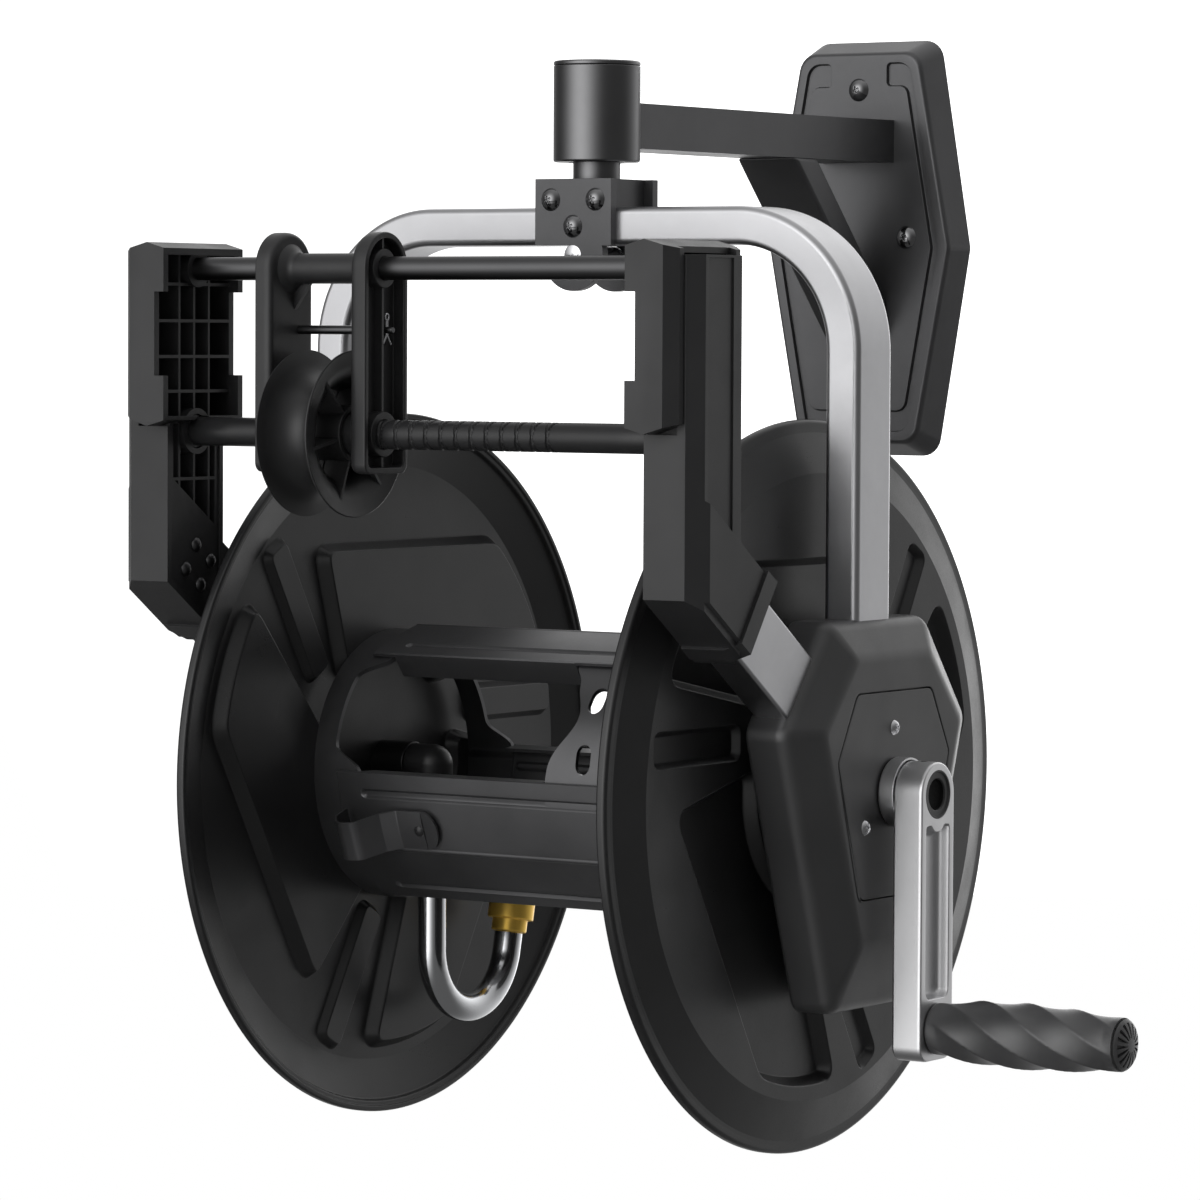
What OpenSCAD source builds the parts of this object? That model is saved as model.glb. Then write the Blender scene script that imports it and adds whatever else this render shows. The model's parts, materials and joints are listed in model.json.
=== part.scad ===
// Wall mounted hose reel: a swinging yoke carries a crank wound drum and a level wind hose guide.
// Millimetres, +Z up. The origin is the centre of the wall plate's back face and the wall is at +Y.
// The drum's own frame has its origin on the drum axis, midway between the discs, +X to the crank.

/* [Wall mount] */
// Height of the wall plate at the wall
plate_h = 237; // [200:1:270]
// Width of the wall plate at its middle
plate_w = 124; // [104:1:150]
// Width of the wall plate's top and bottom edges
plate_end_w = 84; // [70:1:100]
// Thickness of the wall plate
plate_t = 22; // [16:1:30]
// How far the plate's top and bottom edges lean in at the front
plate_lean = 8; // [2:1:12]
// Corner radius of the wall plate
plate_r = 12; // [4:1:16]
// Border left between the plate's edge and its groove
groove_border = 8; // [6:0.5:10]
// Width of the plate's groove
groove_w = 4.5; // [2:0.5:6]
// Depth of the plate's groove
groove_depth = 1.5; // [0.5:0.5:3]
// Diameter of the wall screws
wall_screw_d = 6; // [4:0.5:8]
// Head diameter of the wall screws
wall_screw_head_d = 13; // [10:0.5:16]
// Length of the wall screws beyond the plate
wall_screw_reach = 40; // [20:1:60]
// Height of the top and bottom wall screws from the plate's centre
wall_screw_end_z = 90; // [80:1:96]
// Sideways place of the middle wall screws
wall_screw_mid_x = 32; // [24:1:36]

/* [Swing arm] */
// Distance from the wall to the swivel axis
arm_reach = 291; // [270:1:330]
// Height of the arm above the plate's centre
arm_rise = 60.5; // [50:0.5:66]
// Width of the arm
arm_w = 36; // [24:1:42]
// Height of the arm
arm_h = 24; // [18:1:30]
// Width of the arm's foot on the plate
foot_w = 47; // [42:1:56]
// Length of the arm's flared foot
foot_l = 42; // [20:1:60]
// Wall of the arm's tube
arm_wall = 3; // [2:0.5:5]
// Width of the brace
brace_w = 39; // [24:1:46]
// Thickness of the brace
brace_t = 17.5; // [10:0.5:22]
// Slope of the brace in degrees
brace_angle = 46; // [40:1:52]
// Where the brace's middle meets the plate, below the plate's centre
brace_drop = 42.5; // [36:0.5:60]

/* [Swivel] */
// Outer diameter of the swivel sleeve
sleeve_d = 46; // [42:1:56]
// Length of the swivel sleeve
sleeve_h = 51; // [46:1:70]
// Length of the sleeve below the arm's middle
sleeve_below = 19.5; // [14:0.5:22]
// Thickness of the sleeve's cap
cap_h = 3; // [2:0.5:6]
// Diameter of the swivel pin
pin_d = 25; // [20:0.5:27]
// Wall of the swivel bushes
bush_wall = 3; // [2:0.5:4]
// Length of each swivel bush
bush_l = 15; // [8:1:15]
// Diameter of the collar that holds the pin up
collar_d = 36; // [34:0.5:38]
// Height of the collar
collar_h = 5.5; // [4:0.5:8]
// Drop from the plate's centre to the drum axis
drum_drop = 283; // [270:1:320]
// Length of bare pin between the sleeve and the clamp
neck_h = 9; // [4:1:14]

/* [Clamp and yoke] */
// Depth of the yoke's tube along Y
yoke_depth = 35; // [28:1:42]
// Thickness of the yoke's tube
yoke_t = 20; // [16:1:26]
// Wall of the yoke's tube
yoke_wall = 2; // [1.5:0.5:4]
// Distance from the drum's middle to the middle of a yoke leg
yoke_leg_x = 162; // [160:1:170]
// Radius of the yoke's bends at the tube's middle
yoke_bend_r = 65; // [45:1:90]
// Height of the yoke leg's end above the drum axis
yoke_end_z = 40; // [34:1:60]
// Height of the clamp above the yoke
clamp_rise = 15; // [11:1:20]
// Width of the clamp's plates
clamp_w = 48; // [40:1:60]
// Thickness of each clamp plate
clamp_t = 5; // [3:0.5:8]
// Radius of the clamp's hook
hook_r = 19; // [14:0.5:22]
// Gap between the yoke's underside and the pin in the hook
hook_gap = 0.2; // [0.2:0.1:2]
// Diameter of the pin in the hook
hook_pin_d = 9.6; // [6:0.2:12]
// Diameter of the clamp bolts
clamp_bolt_d = 6; // [4:0.5:8]
// Spacing of the two upper clamp bolts
clamp_bolt_span = 28; // [24:1:36]

/* [Drum] */
// Radius of the drum's discs
disc_r = 190; // [180:1:200]
// Distance between the rims of the two discs
rim_gap = 254.6; // [244:0.2:258]
// Thickness of the disc's rim along the axis
rim_t = 5.7; // [3:0.1:8]
// Width of the rim's band
rim_w = 6; // [4:0.5:10]
// Radius where the disc's sloping ring ends
ring_in_r = 156; // [152:1:165]
// How far the disc's face stands outside its rim
disc_rise = 6; // [3:0.5:7]
// Sheet thickness of the discs
disc_t = 3; // [2:0.5:4]
// Depth of the pockets pressed into the discs
pocket_depth = 8; // [4:0.5:9]
// Distance from the drum axis to a pocket's straight edge
pocket_chord = 115.5; // [100:0.5:125]
// Outer radius of a pocket
pocket_out_r = 148; // [140:1:150]
// Inner radius of a pocket
pocket_in_r = 62; // [56:1:66]
// Depth of the bars pressed into the discs
bar_depth = 5; // [2:0.5:7]
// Width of those bars
bar_w = 14; // [8:1:16]
// Outer radius of the hub's staves
hub_r = 76; // [74:0.5:84]
// Sheet thickness of the hub's staves and rings
hub_t = 3; // [2:0.5:4]
// Angle that each stave covers in degrees
stave_angle = 66; // [60:1:90]
// Depth of the folded edges of the staves
stave_lip = 11; // [6:1:14]
// Length of bare ring at the left end of the hub
ring_bare = 14; // [8:1:20]
// Length of the left ring
left_ring_l = 27; // [22:1:40]
// Length of the right ring
right_ring_l = 110; // [80:1:120]

/* [Axles and housings] */
// Diameter of the axles in their outer bushes
axle_d = 24; // [20:0.5:26]
// Diameter of the crank end of the right axle
crank_axle_d = 16; // [12:0.5:18]
// Bore of the left axle, which carries the water
water_bore = 12; // [8:0.5:14]
// Wall of the axle bushes
axle_bush_wall = 3; // [2:0.5:5]
// Distance from the drum's middle to the inside of a housing
housing_x = 150; // [149:0.5:151.5]
// Depth of a housing's straight sides
housing_side = 24; // [23:0.5:28]
// Depth of a housing's bevelled front
housing_bevel = 11; // [8:0.5:14]
// Half width of a housing at its widest
housing_mid = 90.5; // [84:0.5:96]
// Half width of a housing's top
housing_top = 48; // [42:0.5:54]
// Half width of a housing's bottom
housing_low = 43; // [36:0.5:50]
// Height of a housing's top above the axis
housing_top_z = 88.5; // [80:0.5:96]
// Height of a housing's widest place above the axis
housing_mid_z = 34; // [28:0.5:40]
// Depth of a housing's bottom below the axis
housing_low_z = 112; // [104:0.5:120]
// Width of the bevel round a housing's front
bevel_w = 22; // [14:0.5:24]
// Wall of the housings
housing_wall = 3; // [2:0.5:4]
// Thickness of the cover in a housing's front
cover_t = 3; // [2:0.5:4]
// Border between a housing's front edge and its cover
cover_border = 16; // [10:0.5:20]
// Radius of the circle of cover screws
cover_screw_r = 33; // [26:0.5:36]

/* [Crank] */
// Throw of the crank
crank_throw = 120; // [90:1:140]
// Width of the crank arm
crank_w = 33; // [28:1:40]
// Thickness of the crank arm
crank_t = 17; // [12:1:22]
// Diameter of the boss behind the crank arm
crank_boss_d = 36; // [30:1:44]
// Length of that boss
crank_boss_l = 8.5; // [4:0.5:14]
// Depth of the slot in the crank arm's face
crank_slot_depth = 6; // [2:0.5:10]
// Length of the grip
grip_l = 112; // [90:1:130]
// Largest diameter of the grip
grip_d = 34; // [28:1:40]
// Diameter of the grip's ends
grip_end_d = 26; // [22:1:28]
// Diameter of the spindle inside the grip
spindle_d = 10; // [8:0.5:12]

/* [Hose guide] */
// Distance of the guide rods in front of the drum axis
guide_y = 155; // [152:1:160]
// Height of the upper rod above the drum axis
rod_z = 266.3; // [250:0.1:268]
// Height of the level wind screw above the drum axis
screw_z = 182; // [178:0.5:192]
// Diameter of the upper rod
rod_d = 12; // [8:0.5:14]
// Diameter of the level wind screw
screw_d = 15; // [13:0.5:18]
// Diameter of the screw's journals
journal_d = 11; // [9:0.5:12]
// Slope of the guide arms in degrees
guide_angle = 35; // [34:0.5:36]
// Height of a guide arm's middle off the radial line
guide_offset = 5; // [3:0.5:6]
// Width of the guide arms
guide_arm_w = 38; // [36:0.5:40]
// Inner face of the tower legs from the drum's middle
leg_x = 147; // [146.5:0.5:148]
// Depth of a tower leg along Y
leg_depth = 47; // [45:0.5:50]
// Outer face of the tower legs from the drum's middle
leg_out_x = 178; // [177.5:0.5:182]
// Bevel on a tower leg's outer corners
leg_bevel = 7; // [4:0.5:9]
// Wall of the towers
tower_wall = 3; // [2.5:0.5:3.5]
// Inner face of the tower heads from the drum's middle
head_x = 142; // [140:0.5:143]
// Depth of a tower head along Y
head_depth = 67; // [64:0.5:72]
// Thickness of the ribs in the towers
rib_t = 1.6; // [1:0.1:2.5]

/* [Carriage] */
// Place of the carriage along the rods, as it stands
carriage_x = -59.5; // [-84:0.5:84]
// Gap between the carriage's two links
link_gap = 50; // [48:0.5:60]
// Thickness of each link
link_t = 10; // [8:0.5:13]
// Width of each link
link_w = 37; // [32:0.5:44]
// Wall of the links
link_wall = 3.5; // [2:0.5:5]
// Length of a link below the screw
link_low = 20; // [18:0.5:24]
// Outer diameter of the sleeve on the upper rod
guide_sleeve_d = 15.6; // [15:0.2:20]
// Diameter of the guide pin
guide_pin_d = 3.6; // [2.4:0.2:6]
// Height of the guide pin above the screw
guide_pin_rise = 53; // [50:0.5:60]
// Radius of the roller's rims
roller_rim_r = 42.8; // [36:0.2:45]
// Radius of the roller's waist
roller_waist_r = 25; // [22:0.5:30]
// Width of the roller
roller_w = 32; // [26:0.5:40]
// Wall of the roller
roller_wall = 2.5; // [2:0.5:4]

/* [Hose path] */
// Outer diameter of the bent outlet pipe
pipe_d = 15.5; // [13:0.5:16]
// Bore of the bent outlet pipe
pipe_bore = 12; // [8:0.5:12]
// Bend radius of the outlet pipe
pipe_bend_r = 36; // [30:0.5:40]
// Height of the bend's centre below the drum axis
pipe_drop = 100; // [96:0.5:104]
// Distance of the pipe from the drum's middle
pipe_x = 105; // [103:0.5:106]
// Outward lean of the pipe's free end in degrees
pipe_lean = 12; // [11:0.5:16]
// Length of the pipe's free end
pipe_end_l = 10; // [8:1:18]
// Outer diameter of the outlet's thread
outlet_thread_d = 20.96; // [16:0.02:26]
// Outer diameter of the inlet's thread
inlet_thread_d = 26.44; // [20:0.02:33]
// Length of the two threads
thread_l = 15; // [10:1:20]

/* [Drive] */
// Radius of the belt pulleys
pulley_r = 10.5; // [10:0.1:11]
// Thickness of the belts
belt_t = 1.6; // [1:0.1:2]
// Width of the belts
belt_w = 6; // [4:0.5:7]
// Diameter of the idler's shaft
idler_d = 8; // [6:0.5:10]

/* [Hidden] */
$fn = 96;

// Clearances: running fits, static seats and gaps between bodies
run = 0.06;
seat = 0.2;
gap = 0.5;
belt_gap = 0.35;
// A cut reaches this far past a face
past = 1;
far = 400;

// Heights in the drum's frame
yoke_top_z = drum_drop + arm_rise - sleeve_below - neck_h - clamp_rise;
yoke_under_z = yoke_top_z - yoke_t;
clamp_top_z = yoke_top_z + clamp_rise;
sleeve_low_z = clamp_top_z + neck_h;
sleeve_top_z = sleeve_low_z + sleeve_h;
collar_pocket = collar_h + 4.5;
bush_d = pin_d + 2 * bush_wall;

// Planes of the drum along X
rim_in_x = rim_gap / 2;
disc_out_x = rim_in_x + rim_t + disc_rise;
disc_in_x = disc_out_x - disc_t;
pad_x = disc_out_x - pocket_depth - disc_t;
axle_flange_d = 56;
axle_flange_t = 4;
elbow_d = 22;
hub_in_r = hub_r - hub_t;

// Planes of the housings and the crank along X
front_x = housing_x + housing_side + housing_bevel;
cover_x = front_x - cover_t;
front_wall_x = cover_x - housing_wall;
axle_bush_l = 6;
crank_boss_x = front_x + gap;
crank_x = crank_boss_x + crank_boss_l;
crank_out_x = crank_x + crank_t;
grip_x = crank_out_x + gap;
plug_d = 25;
plug_t = 3;

// The guide's towers
leg_front_y = -guide_y - leg_depth / 2;
leg_rear_y = -guide_y + leg_depth / 2;
head_front_y = -guide_y - head_depth / 2;
head_rear_y = -guide_y + head_depth / 2;
head_low_z = screw_z + 3;
head_top_z = rod_z + 11;
leg_top_z = head_top_z - 5;
head_out_x = leg_out_x - 8;
arm_in_x = yoke_leg_x - yoke_t / 2;
arm_low_p = guide_offset - guide_arm_w / 2;
arm_high_p = guide_offset + guide_arm_w / 2;
socket_low_p = arm_low_p - tower_wall;
socket_high_p = arm_high_p + tower_wall;
socket_lip_s = 153.5;
socket_s = 164;
drive_web_x = leg_x + 4;
plain_web_x = leg_out_x - 12;
web_t = 2.5;
idler_s = (guide_y + guide_offset * sin(guide_angle)) / cos(guide_angle);
idler_z = idler_s * sin(guide_angle) + guide_offset * cos(guide_angle);
belt_x = arm_in_x + 6;
belt2_x = belt_x + belt_w + 2;
screw_bush_d = journal_d + 7;
screw_bush_l = 10;
screw_bush_x = leg_x;

// The carriage
link_in_x = link_gap / 2;
follower_d = screw_d + 8;
roller_hub_wall = 3;

function unit(v) = v / norm(v);
// The arc that rounds corner b of the outline a, b, c, turning anticlockwise
function corner_arc(a, b, c, r, steps) =
    let (u = unit(a - b), v = unit(c - b), half = acos(u * v) / 2)
    let (centre = b + unit(u + v) * r / sin(half), start = b + u * r / tan(half) - centre)
    [for (k = [0 : steps]) let (t = k / steps * (180 - 2 * half))
        centre + [start[0] * cos(t) - start[1] * sin(t), start[0] * sin(t) + start[1] * cos(t)]];
// A convex outline, given anticlockwise, with its corners rounded
function rounded(pts, r, steps = 5) = let (n = len(pts))
    [for (i = [0 : n - 1]) each corner_arc(pts[(i + n - 1) % n], pts[i], pts[(i + 1) % n], r, steps)];
// A hexagon with level top and bottom edges
function hexagon(low, mid, top, low_z, mid_z, top_z) =
    [[-low, low_z], [low, low_z], [mid, mid_z], [top, top_z], [-top, top_z], [-mid, mid_z]];

module drum_frame() translate([0, -arm_reach, -drum_drop]) children();
// In this frame -Y runs up the guide arm from the drum axis
module guide_frame() rotate([-guide_angle, 0, 0]) children();
module on_side(s) {
    if (s > 0) children();
    else mirror([1, 0, 0]) children();
}
// Draws a flat outline in Y and Z and gives it length along X
module along_x(x0, x1) rotate([90, 0, 90]) translate([0, 0, x0]) linear_extrude(x1 - x0) children();
// Draws a flat outline in X and Z and gives it length along Y
module along_y(y0, y1) rotate([90, 0, 0]) translate([0, 0, -y1]) linear_extrude(y1 - y0) children();
module rod_x(d, x0, x1, y = 0, z = 0) translate([x0, y, z]) rotate([0, 90, 0]) cylinder(d = d, h = x1 - x0);
module rod_y(d, y0, y1, x = 0, z = 0) translate([x, y0, z]) rotate([-90, 0, 0]) cylinder(d = d, h = y1 - y0);
module tube_x(d, bore, x0, x1, y = 0, z = 0) difference() {
    rod_x(d, x0, x1, y, z);
    rod_x(bore, x0 - past, x1 + past, y, z);
}
module box(lo, hi) translate(lo) cube(hi - lo);
// A low dome: the cap of a sphere of the given width and height, on the plane z = 0
module dome(d, h) {
    r = (d * d / 4 + h * h) / (2 * h);
    intersection() {
        translate([0, 0, h - r]) sphere(r);
        cylinder(d = d, h = h);
    }
}

// Wall mount

// The plate's front outline, drawn in by an inset
function plate_outline(inset, r) = let (end_z = plate_h / 2 - plate_lean - inset)
    rounded(hexagon(plate_end_w / 2 - inset, plate_w / 2 - inset, plate_end_w / 2 - inset, -end_z, 0, end_z), r);
wall_screw_places = [[0, wall_screw_end_z], [wall_screw_mid_x, 6], [-wall_screw_mid_x, 6],
    [0, -wall_screw_end_z]];
tongue_w = 32;
tongue_step = 14;

module plate_groove() difference() {
    polygon(plate_outline(groove_border, plate_r / 2));
    intersection() {
        polygon(plate_outline(groove_border + groove_w, plate_r / 3));
        translate([-plate_w, -plate_h]) square([2 * plate_w, 1.5 * plate_h - plate_lean - groove_border - tongue_step]);
    }
    translate([-tongue_w / 2, 0]) square([tongue_w, plate_h]);
}
module wall_plate() color("dimgray") difference() {
    intersection() {
        along_y(-plate_t, 0)
            polygon(rounded(hexagon(plate_end_w / 2, plate_w / 2, plate_end_w / 2, -plate_h / 2, 0, plate_h / 2), plate_r));
        along_x(-plate_w, plate_w) polygon([[0, -plate_h / 2], [0, plate_h / 2],
            [-plate_t, plate_h / 2 - plate_lean], [-plate_t, plate_lean - plate_h / 2]]);
    }
    along_y(-plate_t - past, groove_depth - plate_t) plate_groove();
    for (p = wall_screw_places) rod_y(wall_screw_d + 2 * seat, -plate_t - past, past, p[0], p[1]);
}
module wall_screws() color("darkslategray") for (p = wall_screw_places) {
    rod_y(wall_screw_d + 2 * seat, -plate_t, 0, p[0], p[1]);
    rod_y(wall_screw_d, 0, wall_screw_reach, p[0], p[1]);
    translate([p[0], -plate_t, p[1]]) rotate([90, 0, 0]) dome(wall_screw_head_d, wall_screw_head_d * 0.4);
}
module arm_plan(inset) polygon([[inset - foot_w / 2, -plate_t], [inset - arm_w / 2, -plate_t - foot_l],
    [inset - arm_w / 2, -arm_reach], [arm_w / 2 - inset, -arm_reach],
    [arm_w / 2 - inset, -plate_t - foot_l], [foot_w / 2 - inset, -plate_t]]);
module swing_arm() color("#2f2f31") difference() {
    translate([0, 0, arm_rise - arm_h / 2]) linear_extrude(arm_h) arm_plan(0);
    translate([0, 0, arm_rise - arm_h / 2 + arm_wall]) linear_extrude(arm_h - 2 * arm_wall) arm_plan(arm_wall);
    translate([0, -arm_reach, 0]) cylinder(d = sleeve_d, h = far, center = true);
}
module arm_brace() color("#2f2f31") {
    rise = arm_rise - arm_h / 2 + brace_drop;
    half = brace_t / cos(brace_angle) / 2;
    along_x(-brace_w / 2, brace_w / 2) polygon([[-plate_t, -brace_drop - half], [-plate_t, half - brace_drop],
        [-plate_t - (rise - half) / tan(brace_angle), rise - brace_drop],
        [-plate_t - (rise + half) / tan(brace_angle), rise - brace_drop]]);
}
module swivel_sleeve() color("#2b2b2d") drum_frame() difference() {
    translate([0, 0, sleeve_low_z]) cylinder(d = sleeve_d, h = sleeve_h);
    translate([0, 0, sleeve_low_z - past]) cylinder(d = bush_d, h = sleeve_h);
    translate([0, 0, sleeve_top_z - collar_pocket]) cylinder(d = collar_d + 2 * past, h = collar_pocket + past);
}
module swivel_cap() color("#333336") drum_frame() translate([0, 0, sleeve_top_z]) {
    cylinder(d = sleeve_d, h = cap_h);
    translate([0, 0, -cap_h]) cylinder(d = collar_d + 2 * past, h = cap_h);
}
module swivel_bushes() color("wheat") drum_frame()
    for (z = [sleeve_low_z, sleeve_top_z - collar_pocket - bush_l]) translate([0, 0, z]) difference() {
        cylinder(d = bush_d, h = bush_l);
        translate([0, 0, -past]) cylinder(d = pin_d + 2 * run, h = bush_l + 2 * past);
    }

// Swivel pin, clamp and yoke

pin_foot_d = clamp_bolt_span - clamp_bolt_d - 2;
clamp_edge = 1.5;
clamp_block_half = clamp_bolt_span / 2 + clamp_bolt_d / 2 + clamp_edge;
module swivel_pin() color("silver") drum_frame() {
    translate([0, 0, yoke_top_z]) cylinder(d = pin_foot_d, h = clamp_rise);
    translate([0, 0, clamp_top_z]) cylinder(d = pin_d, h = sleeve_top_z - collar_pocket + collar_h - clamp_top_z);
}
module pin_collar() color("gray") drum_frame()
    translate([0, 0, sleeve_top_z - collar_pocket + gap]) difference() {
        cylinder(d = collar_d, h = collar_h - gap);
        translate([0, 0, -past]) cylinder(d = pin_d, h = collar_h + past);
    }
hook_z = yoke_under_z - hook_gap - hook_pin_d / 2;
upper_bolt_z = yoke_top_z + clamp_bolt_d / 2 + 1;
lower_bolt_z = yoke_top_z - yoke_t / 2;
clamp_bolt_places = [[-clamp_bolt_span / 2, upper_bolt_z], [clamp_bolt_span / 2, upper_bolt_z], [0, lower_bolt_z]];
// A plate of the clamp: its lower end is a hook, open to one side, round a cross pin
module clamp_outline() difference() {
    union() {
        translate([-clamp_w / 2, hook_z + hook_pin_d / 2]) square([clamp_w, clamp_top_z - hook_z - hook_pin_d / 2]);
        translate([0, hook_z]) circle(hook_r);
    }
    translate([0, hook_z]) circle(d = hook_pin_d + 2 * seat);
    translate([-clamp_w, hook_z - hook_pin_d / 2 - seat]) square([clamp_w, hook_pin_d + 2 * seat]);
    for (p = clamp_bolt_places) translate(p) circle(d = clamp_bolt_d + 2 * seat);
}
module clamp_front() color("#3a3a3c") drum_frame()
    along_y(-yoke_depth / 2 - clamp_t, -yoke_depth / 2) clamp_outline();
module clamp_rear() color("#3a3a3c") drum_frame()
    along_y(yoke_depth / 2, yoke_depth / 2 + clamp_t) clamp_outline();
module clamp_block() color("#252527") drum_frame() difference() {
    box([-clamp_block_half, -yoke_depth / 2, yoke_top_z], [clamp_block_half, yoke_depth / 2, clamp_top_z]);
    translate([0, 0, yoke_top_z - past]) cylinder(d = pin_foot_d, h = clamp_rise + 2 * past);
    for (p = clamp_bolt_places) rod_y(clamp_bolt_d + 2 * seat, -yoke_depth, yoke_depth, p[0], p[1]);
}
module clamp_bolts() color("dimgray") drum_frame() {
    face = yoke_depth / 2 + clamp_t;
    head = clamp_bolt_d * 0.6;
    for (p = clamp_bolt_places) {
        rod_y(clamp_bolt_d, -face, face + clamp_bolt_d, p[0], p[1]);
        translate([p[0], -face, p[1]]) rotate([90, 0, 0]) dome(clamp_bolt_d * 2, head);
        translate([p[0], face, p[1]]) rotate([-90, 0, 0]) cylinder(d = clamp_bolt_d * 2, h = head, $fn = 6);
    }
    rod_y(hook_pin_d, -face, face, 0, hook_z);
}
// The yoke's outline grown or shrunk by a margin, filled down to a given height
module u_outline(margin, low_z) {
    half = yoke_leg_x + margin;
    top = lower_bolt_z + margin;
    r = yoke_bend_r + margin;
    translate([-half, low_z]) square([2 * half, top - r - low_z]);
    translate([r - half, top - r]) square([2 * (half - r), r]);
    for (s = [-1, 1]) translate([s * (half - r), top - r]) circle(r);
}
module u_band(t, low_z) difference() {
    u_outline(t / 2, low_z);
    u_outline(-t / 2, low_z - past);
}
module yoke() color("gainsboro") drum_frame() difference() {
    along_y(-yoke_depth / 2, yoke_depth / 2) u_band(yoke_t, yoke_end_z);
    along_y(yoke_wall - yoke_depth / 2, yoke_depth / 2 - yoke_wall)
        u_band(yoke_t - 2 * yoke_wall, yoke_end_z - past);
    rod_y(clamp_bolt_d + 2 * seat, -yoke_depth, yoke_depth, 0, lower_bolt_z);
}

// Bearing housings at the yoke's two ends

function housing_outline(inset, r) = rounded(hexagon(housing_low - inset, housing_mid - inset,
    housing_top - inset, inset - housing_low_z, housing_mid_z, housing_top_z - inset), r);
function front_outline(inset, r) = let (b = bevel_w + inset)
    rounded(hexagon(housing_low - b / 2, housing_mid - b, housing_top - b / 2,
        b * 1.6 - housing_low_z, housing_mid_z - inset / 2, housing_top_z - b * 0.85), r);
cover_screw_places = [for (a = [90, 210, 330]) cover_screw_r * [cos(a), sin(a)]];
cover_screw_d = 4;
module housing_form(inset, x0, x1) hull() {
    along_x(x0, housing_x + housing_side) polygon(housing_outline(inset, 8));
    along_x(x0, x1) polygon(front_outline(inset, 5));
}
module guide_arm_box(grow, s0, s1) guide_frame() box([arm_in_x - grow, -s1, arm_low_p - grow],
    [arm_in_x + yoke_t + grow, -s0, arm_high_p + grow]);
module housing(bore) difference() {
    union() {
        difference() {
            housing_form(0, housing_x, front_x);
            housing_form(housing_wall, housing_x + housing_wall, front_wall_x);
        }
        rod_x(bore + 2 * axle_bush_wall + 6, housing_x, housing_x + axle_bush_l);
        rod_x(bore + 2 * axle_bush_wall + 6, cover_x - axle_bush_l, cover_x);
        for (p = cover_screw_places) rod_x(cover_screw_d * 2.5, cover_x - axle_bush_l, cover_x, p[0], p[1]);
    }
    along_x(cover_x, front_x + past) polygon(front_outline(cover_border, 4));
    rod_x(bore + 2 * axle_bush_wall, housing_x - past, front_x);
    for (p = cover_screw_places) rod_x(cover_screw_d, cover_x - axle_bush_l - past, cover_x + past, p[0], p[1]);
    box([arm_in_x - seat, -yoke_depth / 2 - seat, yoke_end_z],
        [arm_in_x + yoke_t + seat, yoke_depth / 2 + seat, housing_top_z + past]);
    guide_arm_box(seat, guide_arm_s0, guide_arm_s0 + far / 4);
}
guide_arm_s0 = 74;
guide_arm_s1 = 178;
plain_arm_s1 = 204;
module housing_right() color("#3d3d40") drum_frame() housing(axle_d);
module housing_left() color("#3d3d40") drum_frame() on_side(-1) housing(axle_d);
module cover() difference() {
    along_x(cover_x, front_x) polygon(front_outline(cover_border + seat, 4));
    rod_x(axle_d + 2 * gap, cover_x - past, front_x + past);
    for (p = cover_screw_places) rod_x(cover_screw_d + 2 * seat, cover_x - past, front_x + past, p[0], p[1]);
}
module cover_right() color("#38383b") drum_frame() cover();
module cover_left() color("#38383b") drum_frame() on_side(-1) cover();
module cover_screws() color("silver") drum_frame() for (s = [-1, 1], p = cover_screw_places) on_side(s) {
    rod_x(cover_screw_d, cover_x - axle_bush_l, front_x, p[0], p[1]);
    translate([front_x, p[0], p[1]]) rotate([0, 90, 0]) dome(cover_screw_d * 2, cover_screw_d * 0.6);
}
module axle_bushes() color("wheat") drum_frame() for (s = [-1, 1]) on_side(s) {
    tube_x(axle_d + 2 * axle_bush_wall, axle_d + 2 * run, housing_x, housing_x + axle_bush_l);
    tube_x(axle_d + 2 * axle_bush_wall, (s > 0 ? crank_axle_d : axle_d) + 2 * run, cover_x - axle_bush_l, cover_x);
}

// Guide arms and towers

module guide_arm(s1) difference() {
    guide_arm_box(0, guide_arm_s0, s1);
    guide_arm_box(-yoke_wall, guide_arm_s0 - past - yoke_wall, s1 + past + yoke_wall);
}
module guide_arm_right() color("gainsboro") drum_frame() guide_arm(guide_arm_s1);
module guide_arm_left() color("gainsboro") drum_frame() on_side(-1) guide_arm(plain_arm_s1);

// A leg's section in X and Y, drawn in by an inset
module leg_section(inset) {
    out = leg_out_x - inset;
    b = leg_bevel;
    polygon([[leg_x - (inset > 0 ? past : 0), leg_front_y + inset], [out - b, leg_front_y + inset],
        [out, leg_front_y + inset + b], [out, leg_rear_y - inset - b], [out - b, leg_rear_y - inset],
        [leg_x - (inset > 0 ? past : 0), leg_rear_y - inset]]);
}
module above_slope(p) difference() {
    children();
    guide_frame() translate([-far, -far, p - far]) cube([2 * far, 2 * far, far]);
}
module below_slope(p) difference() {
    children();
    guide_frame() translate([-far, -far, p]) cube([2 * far, 2 * far, far]);
}
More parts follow.
